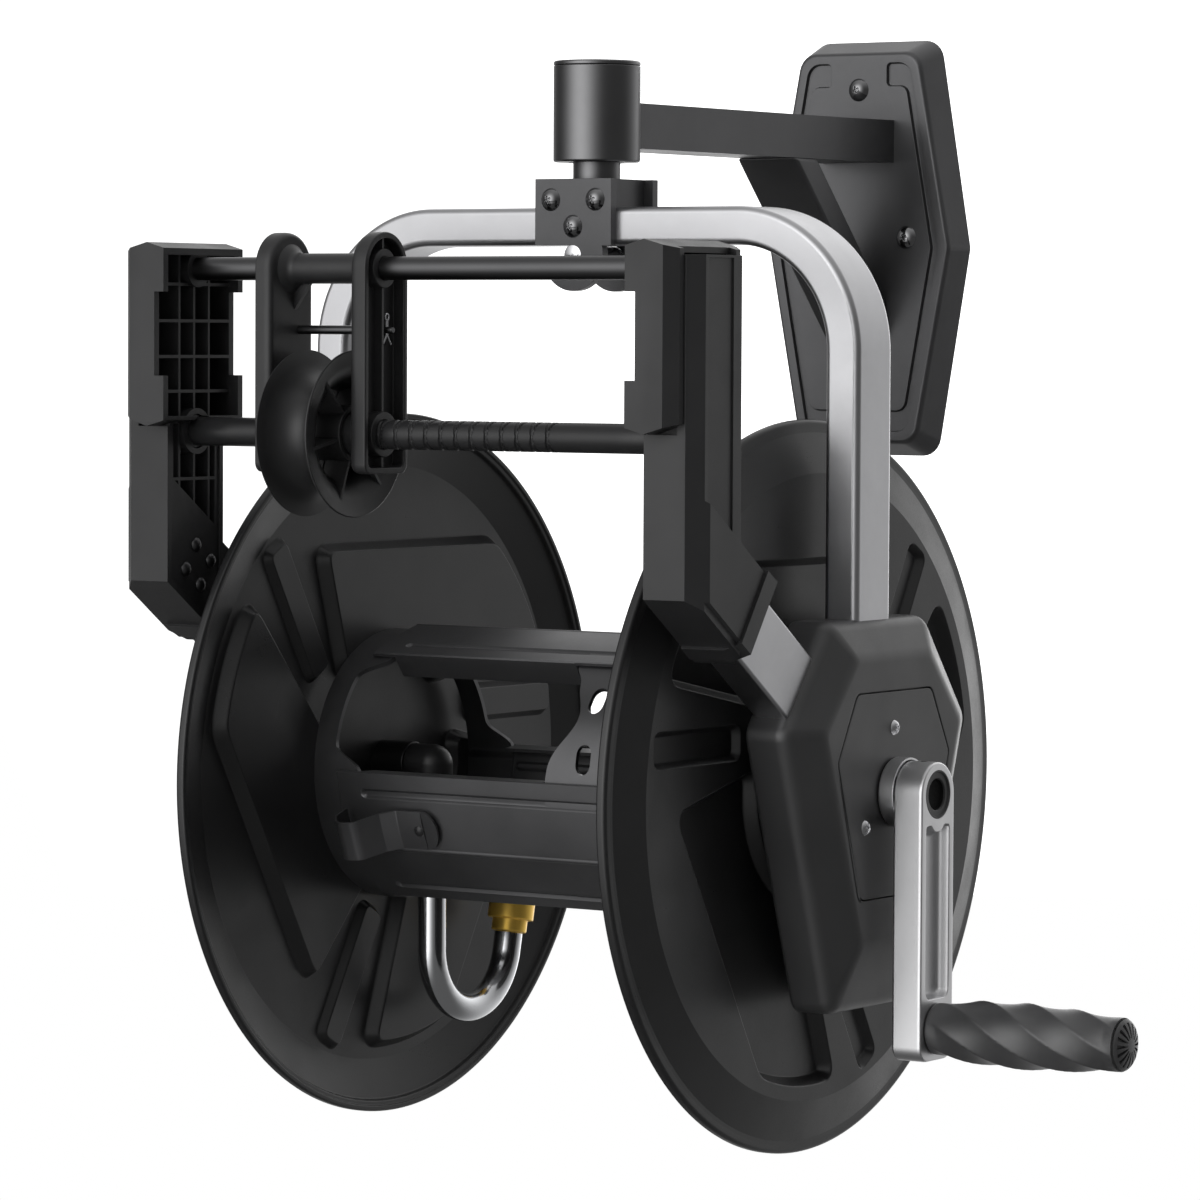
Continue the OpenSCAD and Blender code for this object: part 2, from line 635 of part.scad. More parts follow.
// The block at a leg's foot that holds the guide arm, with a bevelled front and underside
module socket_block(grow, s0, s1) {
    out = leg_out_x + 2 + grow;
    b = leg_bevel + 2;
    low = socket_low_p - grow;
    guide_frame() along_y(-s1, -s0) polygon([[leg_x + 2 - grow, low], [out - b, low], [out, low + b / 2],
        [out, socket_high_p + grow], [leg_x + 2 - grow, socket_high_p + grow]]);
}
module socket() {
    out = leg_out_x + 2;
    b = leg_bevel + 2;
    intersection() {
        socket_block(0, socket_lip_s, far);
        linear_extrude(far) polygon([[leg_x, leg_front_y], [out - b, leg_front_y], [out, leg_front_y + b],
            [out, 0], [leg_x, 0]]);
    }
    socket_block(1.5, socket_lip_s, socket_s);
}
idler_hole_l = 1.8;
module tower_outer(drive) difference() {
    union() {
        above_slope(socket_low_p) linear_extrude(leg_top_z) leg_section(0);
        socket();
    }
    above_slope(socket_low_p + tower_wall) linear_extrude(leg_top_z - tower_wall) leg_section(tower_wall);
    guide_arm_box(seat, guide_arm_s0, drive ? guide_arm_s1 : plain_arm_s1);
    box([0, -far, head_low_z - seat], [head_out_x - 4 + seat, 0, far]);
    if (drive) rod_x(idler_d + 2 * run, leg_out_x - tower_wall - past, leg_out_x - tower_wall + idler_hole_l,
        -guide_y, idler_z);
}
module tower_outer_right() color("#353537") drum_frame() tower_outer(true);
module tower_outer_left() color("#353537") drum_frame() on_side(-1) tower_outer(false);

head_wall = 4;
notch_low_z = head_low_z + 26;
notch_high_z = head_top_z - 23;
notch_depth = 6;
head_bevel = 6;
rib_rows = [rod_z - 8, rod_z - 27, rod_z - 45.5, rod_z - 63.5, rod_z - 109];
rib_step = 12.4;
tray_p = socket_high_p;
// Section of a tower head in X and Y: it wraps round the leg's outer shell
module head_section() polygon([[head_x, head_front_y], [head_out_x - head_bevel, head_front_y],
    [head_out_x, head_front_y + head_bevel], [head_out_x, leg_front_y - seat], [head_out_x - 4, leg_front_y - seat],
    [head_out_x - 4, leg_rear_y + seat], [head_out_x, leg_rear_y + seat], [head_out_x, head_rear_y - head_bevel],
    [head_out_x - head_bevel, head_rear_y], [head_x, head_rear_y]]);
// A head's face in X and Z: the top and bottom edges are pointed
module head_face() {
    peak = head_x + 11;
    polygon([[head_x, head_low_z + 3], [peak, head_low_z], [head_out_x, head_low_z + 5], [head_out_x, head_top_z - 2],
        [peak, head_top_z + 2.5], [head_x, head_top_z - 0.5]]);
}
module tower_ribs(web_x) above_slope(tray_p + past) union() {
    for (k = [-1 : 1]) box([leg_x + 1, k * rib_step - guide_y - rib_t / 2, 0],
        [web_x, k * rib_step - guide_y + rib_t / 2, head_top_z - head_wall]);
    for (z = rib_rows) let (half = z > head_low_z + 3 ? head_depth / 2 - head_wall / 2 : leg_depth / 2 - tower_wall - past)
        box([leg_x + 1, -guide_y - half, z - rib_t / 2], [web_x, half - guide_y, z + rib_t / 2]);
}
module tower_inner(web_x, drive) difference() {
    union() {
        difference() {
            intersection() {
                linear_extrude(far) head_section();
                along_y(head_front_y, head_rear_y) head_face();
            }
            box([head_x - past, head_front_y + head_wall, head_low_z + head_wall + 1],
                [web_x - web_t, head_rear_y - head_wall, head_top_z - head_wall]);
            box([web_x, leg_front_y + tower_wall, head_low_z - past],
                [far, leg_rear_y - tower_wall, head_top_z - head_wall]);
            box([head_x - past, -far, notch_low_z], [head_x + notch_depth, 0, notch_high_z]);
        }
        difference() {
            above_slope(tray_p) box([leg_x + 1, leg_front_y + tower_wall + seat, 0],
                [head_out_x - 4, leg_rear_y - tower_wall - seat, head_low_z + head_wall + 1]);
            above_slope(tray_p + tower_wall) box([0, leg_front_y + 2 * tower_wall, 0],
                [web_x - web_t, leg_rear_y - 2 * tower_wall, far]);
            box([web_x, leg_front_y + 2 * tower_wall, 0], [far, leg_rear_y - 2 * tower_wall, far]);
        }
        below_slope(tray_p + past) above_slope(socket_low_p + tower_wall + seat)
            box([leg_x + 1, leg_front_y + tower_wall + seat, 0],
                [arm_in_x - seat, leg_rear_y - tower_wall - seat, screw_z]);
        tower_ribs(web_x);
        rod_x(rod_d + 7, leg_x - 2, web_x, -guide_y, rod_z);
        rod_x(screw_bush_d + 6, leg_x - 1, leg_x + screw_bush_l, -guide_y, screw_z);
    }
    rod_x(rod_d, head_x - past, leg_x + rod_seat, -guide_y, rod_z);
    rod_x(screw_bush_d, head_x - past, leg_x + screw_bush_l + past, -guide_y, screw_z);
    if (drive) rod_x(idler_d + 2 * run, leg_x, arm_in_x + past, -guide_y, idler_z);
    else for (p = tower_screw_places) guide_frame() rod_x(tower_screw_d, leg_x, arm_in_x, -p[0], p[1]);
}
rod_seat = drive_web_x - leg_x - 0.5;
tower_screw_d = 4;
tower_screw_edge = 8;
tower_screw_step = 15;
tower_screw_places = [for (j = [0, 1], k = [-1, 1])
    [plain_arm_s1 - tower_screw_edge - tower_screw_step * j, guide_offset + tower_screw_step / 2 * k]];
module tower_inner_right() color("#353537") drum_frame() tower_inner(drive_web_x, true);
module tower_inner_left() color("#353537") drum_frame() on_side(-1) tower_inner(plain_web_x, false);
module tower_screws() color("dimgray") drum_frame() on_side(-1) guide_frame() for (p = tower_screw_places) {
    rod_x(tower_screw_d, leg_x + 1, arm_in_x - seat, -p[0], p[1]);
    translate([leg_x + 1, -p[0], p[1]]) rotate([0, -90, 0]) dome(tower_screw_d * 2, tower_screw_d * 0.6);
}
module guide_rod() color("#3a3a3c") drum_frame() rod_x(rod_d, -leg_x - rod_seat, leg_x + rod_seat, -guide_y, rod_z);
module screw_bushes() color("wheat") drum_frame() for (s = [-1, 1]) on_side(s)
    tube_x(screw_bush_d, journal_d + 2 * run, screw_bush_x, screw_bush_x + screw_bush_l, -guide_y, screw_z);

// Belt drive from the right axle up to the level wind screw

belt_steps = 24;
// The line of a belt at radius r round two pulleys at a and b
function belt_line(r, a, b) = let (d = b - a, t = atan2(d[1], d[0]) - 90)
    [for (k = [0 : 2 * belt_steps + 1]) let (half = k > belt_steps ? 1 : 0)
        let (w = t + 180 * (k - half) / belt_steps) (half > 0 ? a : b) + r * [cos(w), sin(w)]];
module belt(x, a, b) along_x(x, x + belt_w) difference() {
    polygon(belt_line(pulley_r + belt_gap + belt_t, a, b));
    polygon(belt_line(pulley_r + belt_gap, a, b));
}
module drive_belts() color("#1c1c1c") drum_frame() {
    belt(belt_x, [0, 0], [-guide_y, idler_z]);
    belt(belt2_x, [-guide_y, idler_z], [-guide_y, screw_z]);
}
module pulley(bore, x, y, z) tube_x(2 * pulley_r, bore, x, x + belt_w, y, z);
module drive_pulley() color("gray") drum_frame() pulley(crank_axle_d, belt_x, 0, 0);
module screw_pulley() color("gray") drum_frame() pulley(journal_d, belt2_x, -guide_y, screw_z);
module idler_pulley() color("gray") drum_frame() {
    rod_x(idler_d, leg_x + 1, leg_out_x - tower_wall + idler_hole_l - seat, -guide_y, idler_z);
    for (x = [belt_x, belt2_x]) rod_x(2 * pulley_r, x, x + belt_w, -guide_y, idler_z);
}

// Water inlet on the left end

inlet_x = front_x + 17;
inlet_wall = 4;
inlet_l = 44;
module inlet_elbow() color("goldenrod") drum_frame() on_side(-1) difference() {
    union() {
        rod_x(axle_d + 2 * inlet_wall, front_x, inlet_x + inlet_thread_d / 2 + 1);
        translate([inlet_x, 0, thread_l - inlet_l]) cylinder(d = inlet_thread_d - 2, h = inlet_l - thread_l);
        translate([inlet_x, 0, -inlet_l]) cylinder(d = inlet_thread_d, h = thread_l);
    }
    rod_x(axle_d + 2 * run, front_x - past, inlet_x - 3);
    rod_x(water_bore, front_x, inlet_x + 3);
    translate([inlet_x, 0, -inlet_l - past]) cylinder(d = inlet_thread_d - 2 * inlet_wall, h = inlet_l);
}

// Drum: discs, hub and axles

// The half plane whose edge lies d from the origin along the direction a
module half_plane(a, d) rotate(a) translate([-far, -far]) square([far + d, 2 * far]);
pocket_lead = 196.5;
pocket_lead_d = 23.7;
pocket_trail = -79.3;
pocket_trail_d = -38.9;
bar_offset = 18;
// One pressed pocket, drawn in by an inset: a chord, an arc and two edges beside the spokes
module pocket(inset) difference() {
    intersection() {
        circle(pocket_out_r - inset);
        half_plane(90, pocket_chord - inset);
        half_plane(pocket_lead, pocket_lead_d - inset);
        half_plane(pocket_trail, pocket_trail_d - inset);
    }
    circle(pocket_in_r + inset);
}
module spoke_bar(inset) rotate(120) translate([hub_r + inset, bar_offset + inset])
    square([ring_in_r - hub_r - 4 - 2 * inset, bar_w - 2 * inset]);
module three_times() for (k = [0 : 2]) rotate(120 * k) children();
// The left disc: a dished sheet with pockets and bars pressed inwards
module disc() difference() {
    union() {
        rotate([0, 90, 0]) rotate_extrude($fn = 180) polygon([[axle_d / 2, -disc_out_x], [ring_in_r, -disc_out_x],
            [disc_r - rim_w, -rim_in_x - rim_t], [disc_r, -rim_in_x - rim_t], [disc_r, -rim_in_x],
            [disc_r - rim_w, -rim_in_x], [disc_r - rim_w, disc_t - rim_in_x - rim_t], [ring_in_r, -disc_in_x],
            [axle_d / 2, -disc_in_x]]);
        along_x(-disc_in_x - past, -pad_x) three_times() pocket(0);
        along_x(-disc_in_x - past, bar_depth - disc_in_x) three_times() spoke_bar(0);
    }
    along_x(-disc_out_x - past, -pad_x - disc_t) three_times() pocket(disc_t);
    along_x(-disc_out_x - past, bar_depth - disc_out_x) three_times() spoke_bar(disc_t);
}
module disc_left() color("#3f3f42") drum_frame() disc();
module disc_right() color("#3f3f42") drum_frame() rotate([0, 0, 180]) disc();

// A part of a turned ring about the drum axis, centred on an angle from +Y towards +Z
module ring_sector(r, t, x0, x1, mid, angle) rotate([0, 90, 0]) rotate([0, 0, mid + 90 - angle / 2])
    rotate_extrude(angle = angle) translate([r - t, x0]) square([t, x1 - x0]);
stave_turn = 2;
stave_x0 = ring_bare - pad_x;
stave_x1 = pad_x - 4;
module stave(mid) {
    ring_sector(hub_r, hub_t, stave_x0, stave_x1, mid, stave_angle);
    for (s = [-1, 1]) rotate([mid + s * stave_angle / 2, 0, 0])
        box([left_ring_l - pad_x + past, hub_in_r - stave_lip, s > 0 ? -hub_t : 0],
            [pad_x - right_ring_l - past, hub_in_r + past, s > 0 ? 0 : hub_t]);
}
module stave_top() color("#48484b") drum_frame() stave(90 + stave_turn);
module stave_front() color("#48484b") drum_frame() stave(210 + stave_turn);
module stave_rear() color("#48484b") drum_frame() stave(330 + stave_turn);
gap_angles = [for (k = [0 : 2]) 30 + 120 * k + stave_turn];
gap_half = hub_r * sin(60 - stave_angle / 2);
module hub_ring_left() color("#404043") drum_frame() difference() {
    tube_x(2 * hub_in_r, 2 * (hub_in_r - hub_t), -pad_x, left_ring_l - pad_x);
    for (a = gap_angles) rotate([a, 0, 0]) box([ring_bare - 3 - pad_x, 0, -gap_half], [0, far, gap_half]);
}
ring_hole_w = 9;
ring_hole_l = 7;
ring_hole_x = pad_x - right_ring_l + 23;
// A slot with round ends, cut through the ring at +Y
module ring_slot() along_y(hub_in_r - hub_t - past, hub_r) translate([ring_hole_x, 0]) {
    square([ring_hole_w, ring_hole_l], center = true);
    for (s = [-1, 1]) translate([0, s * ring_hole_l / 2]) circle(d = ring_hole_w);
}
module hub_ring_right() color("#404043") drum_frame() difference() {
    tube_x(2 * hub_in_r, 2 * (hub_in_r - hub_t), pad_x - right_ring_l, pad_x);
    for (a = gap_angles, k = [-1, 1]) rotate([a + 4 + 13 * k, 0, 0]) ring_slot();
}
module crank_axle() color("silver") drum_frame() {
    rod_x(axle_flange_d, disc_out_x, disc_out_x + axle_flange_t);
    rod_x(axle_d, disc_in_x, housing_x + axle_bush_l + gap);
    rod_x(crank_axle_d, housing_x, crank_out_x - plug_t);
}
water_x0 = pipe_x + elbow_d / 2 + 1;
module water_axle() color("silver") drum_frame() on_side(-1) difference() {
    union() {
        rod_x(axle_flange_d, disc_out_x, disc_out_x + axle_flange_t);
        rod_x(axle_d, water_x0, inlet_x - 4);
    }
    rod_x(water_bore, water_x0 - past, inlet_x);
}
elbow_drop = 34;
module elbow_path(d) {
    rod_x(d, -water_x0, -pipe_x);
    translate([-pipe_x, 0, 0]) sphere(d = d);
    translate([-pipe_x, 0, -elbow_drop]) cylinder(d = d, h = elbow_drop);
}
module water_elbow() color("#202022") drum_frame() difference() {
    elbow_path(elbow_d);
    elbow_path(pipe_bore);
    rod_x(pipe_bore, -water_x0 - past, -pipe_x);
    translate([-pipe_x, 0, -elbow_drop - past]) cylinder(d = pipe_bore, h = elbow_drop);
}
// Carries what follows to the free end of the outlet pipe, with +Z along the pipe
module pipe_end() translate([-pipe_x, pipe_bend_r, -pipe_drop]) rotate([-pipe_lean, 0, 0])
    translate([0, pipe_bend_r, 0]) children();
module pipe_path(d, extra) {
    translate([-pipe_x, 0, -pipe_drop]) cylinder(d = d, h = pipe_drop - elbow_drop + extra);
    translate([-pipe_x, pipe_bend_r, -pipe_drop]) rotate([90, 0, 90]) rotate([0, 0, 180])
        rotate_extrude(angle = 180 - pipe_lean) translate([pipe_bend_r, 0]) circle(d = d);
    pipe_end() cylinder(d = d, h = pipe_end_l + extra);
}
module gooseneck() color("whitesmoke") drum_frame() difference() {
    pipe_path(pipe_d, 0);
    pipe_path(pipe_bore, past);
}
coupling_collar_h = 7;
coupling_nut_h = 13;
coupling_nut_d = 25.5;
module outlet_coupling() color("gold") drum_frame() pipe_end() translate([0, 0, pipe_end_l]) difference() {
    union() {
        cylinder(d = pipe_d + 4, h = coupling_collar_h);
        translate([0, 0, coupling_collar_h]) cylinder(d = coupling_nut_d, h = coupling_nut_h);
        translate([0, 0, coupling_collar_h + coupling_nut_h]) cylinder(d = outlet_thread_d, h = thread_l);
    }
    translate([0, 0, -past]) cylinder(d = pipe_bore, h = far);
}
clip_x = -98;
clip_angle = 202;
clip_w = 22;
clip_r = 10;
clip_t = 2;
clip_tab = 24;
// A curled strap on the front stave that holds the hose's first turn
module hose_clip() color("#333336") drum_frame() rotate([clip_angle, 0, 0]) difference() {
    translate([0, 0, -clip_w / 2]) linear_extrude(clip_w) {
        difference() {
            translate([clip_x, hub_r + clip_r]) circle(clip_r);
            translate([clip_x, hub_r + clip_r]) circle(clip_r - clip_t);
            translate([clip_x - clip_r - past, hub_r - past]) square([clip_r + past, clip_r + past]);
        }
        translate([clip_x, hub_r]) square([clip_tab + clip_r, clip_t]);
    }
    rod_x(2 * hub_r, -far, far);
}

// Crank

module crank_arm() color("gainsboro") drum_frame() difference() {
    union() {
        rod_x(crank_boss_d, crank_boss_x, crank_x + past);
        rod_x(crank_w, crank_x, crank_out_x);
        rod_x(crank_w, crank_x, crank_out_x, 0, -crank_throw);
        box([crank_x, -crank_w / 2, -crank_throw], [crank_out_x, crank_w / 2, 0]);
    }
    rod_x(crank_axle_d, crank_boss_x - past, crank_out_x - plug_t);
    rod_x(plug_d, crank_out_x - plug_t, crank_out_x + past);
    box([crank_out_x - crank_slot_depth, crank_slot_edge - crank_w / 2, crank_slot_edge - crank_throw + spindle_d],
        [crank_out_x + past, crank_w / 2 - crank_slot_edge, -plug_d / 2 - crank_slot_edge]);
    rod_x(spindle_d, crank_x - past, crank_out_x + past, 0, -crank_throw);
    translate([set_screw_x, 0, crank_axle_d / 2]) cylinder(d = set_screw_d, h = far);
}
crank_slot_edge = 6;
set_screw_d = 5;
set_screw_x = crank_x + crank_t / 2;
module crank_set_screw() color("dimgray") drum_frame()
    translate([set_screw_x, 0, crank_axle_d / 2]) cylinder(d = set_screw_d, h = crank_w / 2 - crank_axle_d / 2);
module crank_plug() color("#1a1a1a") drum_frame() difference() {
    rod_x(plug_d, crank_out_x - plug_t, crank_out_x);
    rod_x(plug_d / 2, crank_out_x - plug_t / 2, crank_out_x + past);
}
spindle_head_d = 16;
spindle_head_t = 4;
grip_cap_t = 5;
grip_bore = spindle_d + 2 * run;
grip_mouth_d = spindle_head_d + 2 * gap;
grip_floor_x = grip_x + grip_l - spindle_head_t - 2 * gap - grip_cap_t;
module grip_spindle() color("silver") drum_frame() {
    rod_x(spindle_d, crank_x, grip_floor_x + gap, 0, -crank_throw);
    rod_x(spindle_head_d, grip_floor_x + gap, grip_floor_x + gap + spindle_head_t, 0, -crank_throw);
}
module at_grip() translate([grip_x, 0, -crank_throw]) rotate([0, 90, 0]) children();
grip_body_l = grip_l - grip_cap_t;
// Radius of the grip's barrel at a share u of its length
function grip_radius(u) = grip_end_d / 2 + (grip_d - grip_end_d) / 2 * sin(180 * pow(u, 0.8));
module crank_grip() color("#3a3a3d") drum_frame() difference() {
    at_grip() rotate_extrude() polygon([[0, 0],
        for (k = [0 : 12]) [grip_radius(k / 12 * 0.94), grip_body_l * k / 12], [0, grip_body_l]]);
    rod_x(grip_bore, grip_x - past, grip_x + grip_l, 0, -crank_throw);
    rod_x(grip_mouth_d, grip_floor_x, grip_x + grip_l, 0, -crank_throw);
}
module grip_cap() color("#2c2c2e") drum_frame() at_grip() translate([0, 0, grip_body_l])
    dome(grip_end_d, grip_cap_t);

// Level wind screw and carriage

module level_screw() color("#3a3a3c") drum_frame() {
    rod_x(screw_d, -screw_bush_x + gap, screw_bush_x - gap, -guide_y, screw_z);
    rod_x(journal_d, -screw_bush_x - screw_bush_l, belt2_x + belt_w, -guide_y, screw_z);
}
module at_carriage() drum_frame() translate([carriage_x, -guide_y, screw_z]) children();
link_rise = rod_z - screw_z;
module link_outline(inset) {
    translate([0, link_rise]) circle(link_w / 2 - inset);
    translate([inset - link_w / 2, inset - link_low]) square([link_w - 2 * inset, link_rise + link_low - inset]);
}
guide_pin_y = 7;
// The right link: a tray that is open on its outer side, with a rib and bosses inside
module link() difference() {
    union() {
        difference() {
            along_x(link_in_x, link_in_x + link_t) link_outline(0);
            along_x(link_in_x + link_wall, link_in_x + link_t + past) link_outline(link_wall);
        }
        box([link_in_x + link_wall - past, -1, -link_low + past],
            [link_in_x + link_t - 2, 1, link_rise + link_w / 2 - past]);
        rod_x(rod_d + 8, link_in_x, link_in_x + link_t - 1, 0, link_rise);
        rod_x(screw_d + 8, link_in_x, link_in_x + link_t - 1);
    }
    rod_x(rod_d + 2 * run, 0, far, 0, link_rise);
    rod_x(screw_d + 2 * run, 0, far);
    rod_x(guide_pin_d, 0, far, guide_pin_y, guide_pin_rise);
}
module link_right() color("#3b3b3d") at_carriage() link();
module link_left() color("#3b3b3d") at_carriage() on_side(-1) link();
module guide_sleeve() color("#3b3b3d") at_carriage()
    tube_x(guide_sleeve_d, rod_d + 2 * run, -link_in_x, link_in_x, 0, link_rise);
module guide_pin() color("#55555a") at_carriage() {
    rod_x(guide_pin_d, -link_in_x - link_wall, link_in_x + link_t - 1, guide_pin_y, guide_pin_rise);
    tube_x(guide_pin_d * 2, guide_pin_d, link_in_x + link_wall, link_in_x + link_wall + 2, guide_pin_y, guide_pin_rise);
}
module follower_tube() color("#2c2c2e") at_carriage()
    tube_x(follower_d, screw_d + 2 * run, -link_in_x, link_in_x);
roller_steps = 10;
// Radius of the roller's outside at a share u from its waist to its rim
roller_flare = 0.96;
function roller_radius(u) = roller_waist_r + (roller_rim_r - roller_waist_r)
    * (1 - sqrt(1 - u * u * roller_flare)) / (1 - sqrt(1 - roller_flare));
function roller_side(inset) = [for (k = [-roller_steps : roller_steps]) let (u = k / roller_steps)
    [roller_radius(u) - inset, u * roller_w / 2]];
module guide_roller() color("#3b3b3d") at_carriage() {
    bore = follower_d / 2 + run;
    rotate([0, 90, 0]) rotate_extrude() polygon(concat(roller_side(0),
        [for (k = [0 : 2 * roller_steps]) roller_side(roller_wall)[2 * roller_steps - k]]));
    rotate([0, 90, 0]) rotate_extrude() polygon([[bore, -roller_w / 2], [bore + roller_hub_wall, -roller_w / 2],
        [bore + roller_hub_wall, roller_w / 2], [bore, roller_w / 2]]);
    for (a = [0 : 60 : 300]) rotate([a, 0, 0]) roller_web(bore);
}
// A radial web that joins the roller's hub to its flared wall
module roller_web(bore) intersection() {
    box([-roller_w / 2, bore + 1, -1], [roller_w / 2, roller_rim_r, 1]);
    rotate([0, 90, 0]) rotate_extrude() polygon(concat([[bore, -roller_w / 2]],
        roller_side(1), [[bore, roller_w / 2]]));
}

wall_plate();
wall_screws();
swing_arm();
arm_brace();
swivel_sleeve();
swivel_cap();
swivel_bushes();
swivel_pin();
pin_collar();
clamp_front();
clamp_rear();
clamp_block();
clamp_bolts();
yoke();
housing_right();
housing_left();
cover_right();
cover_left();
cover_screws();
axle_bushes();
guide_arm_right();
guide_arm_left();
tower_outer_right();
tower_outer_left();
tower_inner_right();
tower_inner_left();
tower_screws();
guide_rod();
screw_bushes();
drive_belts();
inlet_elbow();
idler_pulley();
disc_right();
disc_left();
stave_top();
stave_front();
stave_rear();
hub_ring_left();
hub_ring_right();
crank_axle();
water_axle();
water_elbow();
gooseneck();
outlet_coupling();
hose_clip();
drive_pulley();
crank_arm();
crank_plug();
crank_set_screw();
grip_spindle();
crank_grip();
grip_cap();
level_screw();
screw_pulley();
link_left();
link_right();
guide_sleeve();
guide_pin();
follower_tube();
guide_roller();
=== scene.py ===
import json
import math

import bmesh
import bpy
import numpy as np
from mathutils import Matrix, Vector
from mathutils.geometry import delaunay_2d_cdt


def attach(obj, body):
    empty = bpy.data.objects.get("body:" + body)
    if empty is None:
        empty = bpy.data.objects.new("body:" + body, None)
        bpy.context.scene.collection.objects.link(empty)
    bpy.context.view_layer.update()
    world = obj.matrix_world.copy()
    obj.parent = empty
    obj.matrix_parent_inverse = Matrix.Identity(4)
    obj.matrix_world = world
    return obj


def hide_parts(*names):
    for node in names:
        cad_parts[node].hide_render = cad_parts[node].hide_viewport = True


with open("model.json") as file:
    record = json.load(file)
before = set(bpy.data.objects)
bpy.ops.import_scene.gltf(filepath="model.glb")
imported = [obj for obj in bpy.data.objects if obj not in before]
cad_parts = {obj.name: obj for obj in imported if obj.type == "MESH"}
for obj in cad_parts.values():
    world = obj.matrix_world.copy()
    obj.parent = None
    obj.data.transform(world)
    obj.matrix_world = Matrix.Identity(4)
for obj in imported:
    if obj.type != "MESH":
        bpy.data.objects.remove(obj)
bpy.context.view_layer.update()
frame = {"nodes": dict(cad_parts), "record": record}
NODE_BODY = {n: b for b, ns in frame["record"]["behaviour"]["bodies"].items() for n in ns}
NODE_SLOT = {s["node"]: s["material_slot"] for s in frame["record"]["subparts"]}

# Drum frame, in millimetres: origin on the drum axis, midway between the discs
DRUM = np.array([0.0, -0.291, -0.283])
MM = 0.001


def row(pts):
    return np.asarray(pts, float).reshape(-1, 3) * MM + DRUM


def placed(scale=(1, 1, 1), shift=(0, 0, 0)):
    """Like row, for points first mirrored or moved."""
    return lambda p: row(np.asarray(p, float) * np.array(scale, float) + np.array(shift, float))


# Shader nodes and materials

DONE = set()
MIX_A, MIX_B, MIX_OUT = 6, 7, 2


def shader(tree, kind, *first, **more):
    """A new node. What stands in first goes to its inputs in order and a capital name to the input so named, with _
    for a space: a socket is linked, anything else is set. A small name sets the node itself."""
    node = tree.nodes.new("ShaderNode" + kind)
    for key, value in more.items():
        if key[0].islower():
            setattr(node, key, value)
    named = [(key.replace("_", " "), value) for key, value in more.items() if key[0].isupper()]
    for key, value in [*enumerate(first), *named]:
        if isinstance(value, bpy.types.NodeSocket):
            tree.links.new(value, node.inputs[key])
        else:
            node.inputs[key].default_value = value
    return node


def reckon(tree, operation, *values, **more):
    return shader(tree, "Math", *values, operation=operation, **more).outputs[0]


def material(name, color, rough, metal=0.0, vary=0.25, grain=900.0, bump=0.05, rough_vary=0.12, spec=0.5,
             streak=None, wear=0.0):
    """A procedural surface: blotchy colour, grainy bump, uneven gloss, streaks along one axis and paler edges."""
    mat = bpy.data.materials.new(name)
    mat.use_nodes = True
    tree = mat.node_tree
    tree.nodes.clear()
    place = shader(tree, "TexCoord").outputs["Object"]
    cloud = shader(tree, "TexNoise", Vector=place, Scale=18.0, Detail=5.0, Roughness=0.6)
    ramp = shader(tree, "ValToRGB", cloud.outputs["Fac"])
    for stop, at, share in zip(ramp.color_ramp.elements, (0.3, 0.7), (1.0 - vary, 1.0 + vary)):
        stop.position = at
        stop.color = (*[min(1.0, c * share) for c in color], 1)
    colour = ramp.outputs["Color"]
    if wear:
        edge = shader(tree, "MapRange", Value=shader(tree, "NewGeometry").outputs["Pointiness"],
                      From_Min=0.53, From_Max=0.62, To_Max=wear)
        worn = shader(tree, "Mix", edge.outputs["Result"], data_type="RGBA")
        tree.links.new(colour, worn.inputs[MIX_A])
        worn.inputs[MIX_B].default_value = (*[min(1.0, c * 3 + 0.03) for c in color], 1)
        colour = worn.outputs[MIX_OUT]
    grain_at = shader(tree, "Mapping", Vector=place, Scale=streak).outputs["Vector"] if streak else place
    fine = shader(tree, "TexNoise", Vector=grain_at, Scale=grain, Detail=3.0).outputs["Fac"]
    smudge = shader(tree, "TexNoise", Vector=place, Scale=35.0, Detail=6.0).outputs["Fac"]
    uneven = reckon(tree, "MULTIPLY_ADD", fine, 0.5, reckon(tree, "MULTIPLY", smudge, 0.5))
    gloss = shader(tree, "MapRange", Value=uneven, From_Min=0.25, From_Max=0.75,
                   To_Min=max(0.02, rough - rough_vary), To_Max=min(1.0, rough + rough_vary))
    dents = shader(tree, "Bump", Strength=bump, Distance=0.0004, Height=fine)
    body = shader(tree, "BsdfPrincipled", Metallic=metal, Specular_IOR_Level=spec, Base_Color=colour,
                  Roughness=gloss.outputs["Result"], Normal=dents.outputs["Normal"])
    shader(tree, "OutputMaterial", body.outputs[0])
    return mat


PAINT = material("black_satin_coat", (0.112, 0.112, 0.115), 0.38, metal=0.85,
                 grain=1600, vary=0.1, rough_vary=0.08)
GLOSS = material("black_gloss_coat", (0.21, 0.21, 0.214), 0.34, metal=1.0,
                 grain=1600, bump=0.03, vary=0.06, rough_vary=0.05)
ROD = material("black_bright_rod", (0.13, 0.13, 0.133), 0.36, metal=1.0,
               grain=2000, bump=0.02, vary=0.06, rough_vary=0.05)
DISC = material("black_pressed_sheet", (0.008, 0.008, 0.0084), 0.36,
                grain=1300, bump=0.04, spec=0.68, wear=0.1, vary=0.12)
MOULD = material("black_moulding", (0.013, 0.013, 0.0135), 0.42,
                 grain=2200, bump=0.06, spec=0.55, wear=0.1, vary=0.12)
SHELL = material("black_housing", (0.02, 0.02, 0.0206), 0.42, grain=2200, bump=0.06, spec=0.95, wear=0.1,
                 vary=0.12)
ALLOY = material("satin_alloy", (0.62, 0.62, 0.635), 0.34, metal=1.0, vary=0.05, grain=60, bump=0.03,
                 streak=(60, 6, 6), rough_vary=0.06)
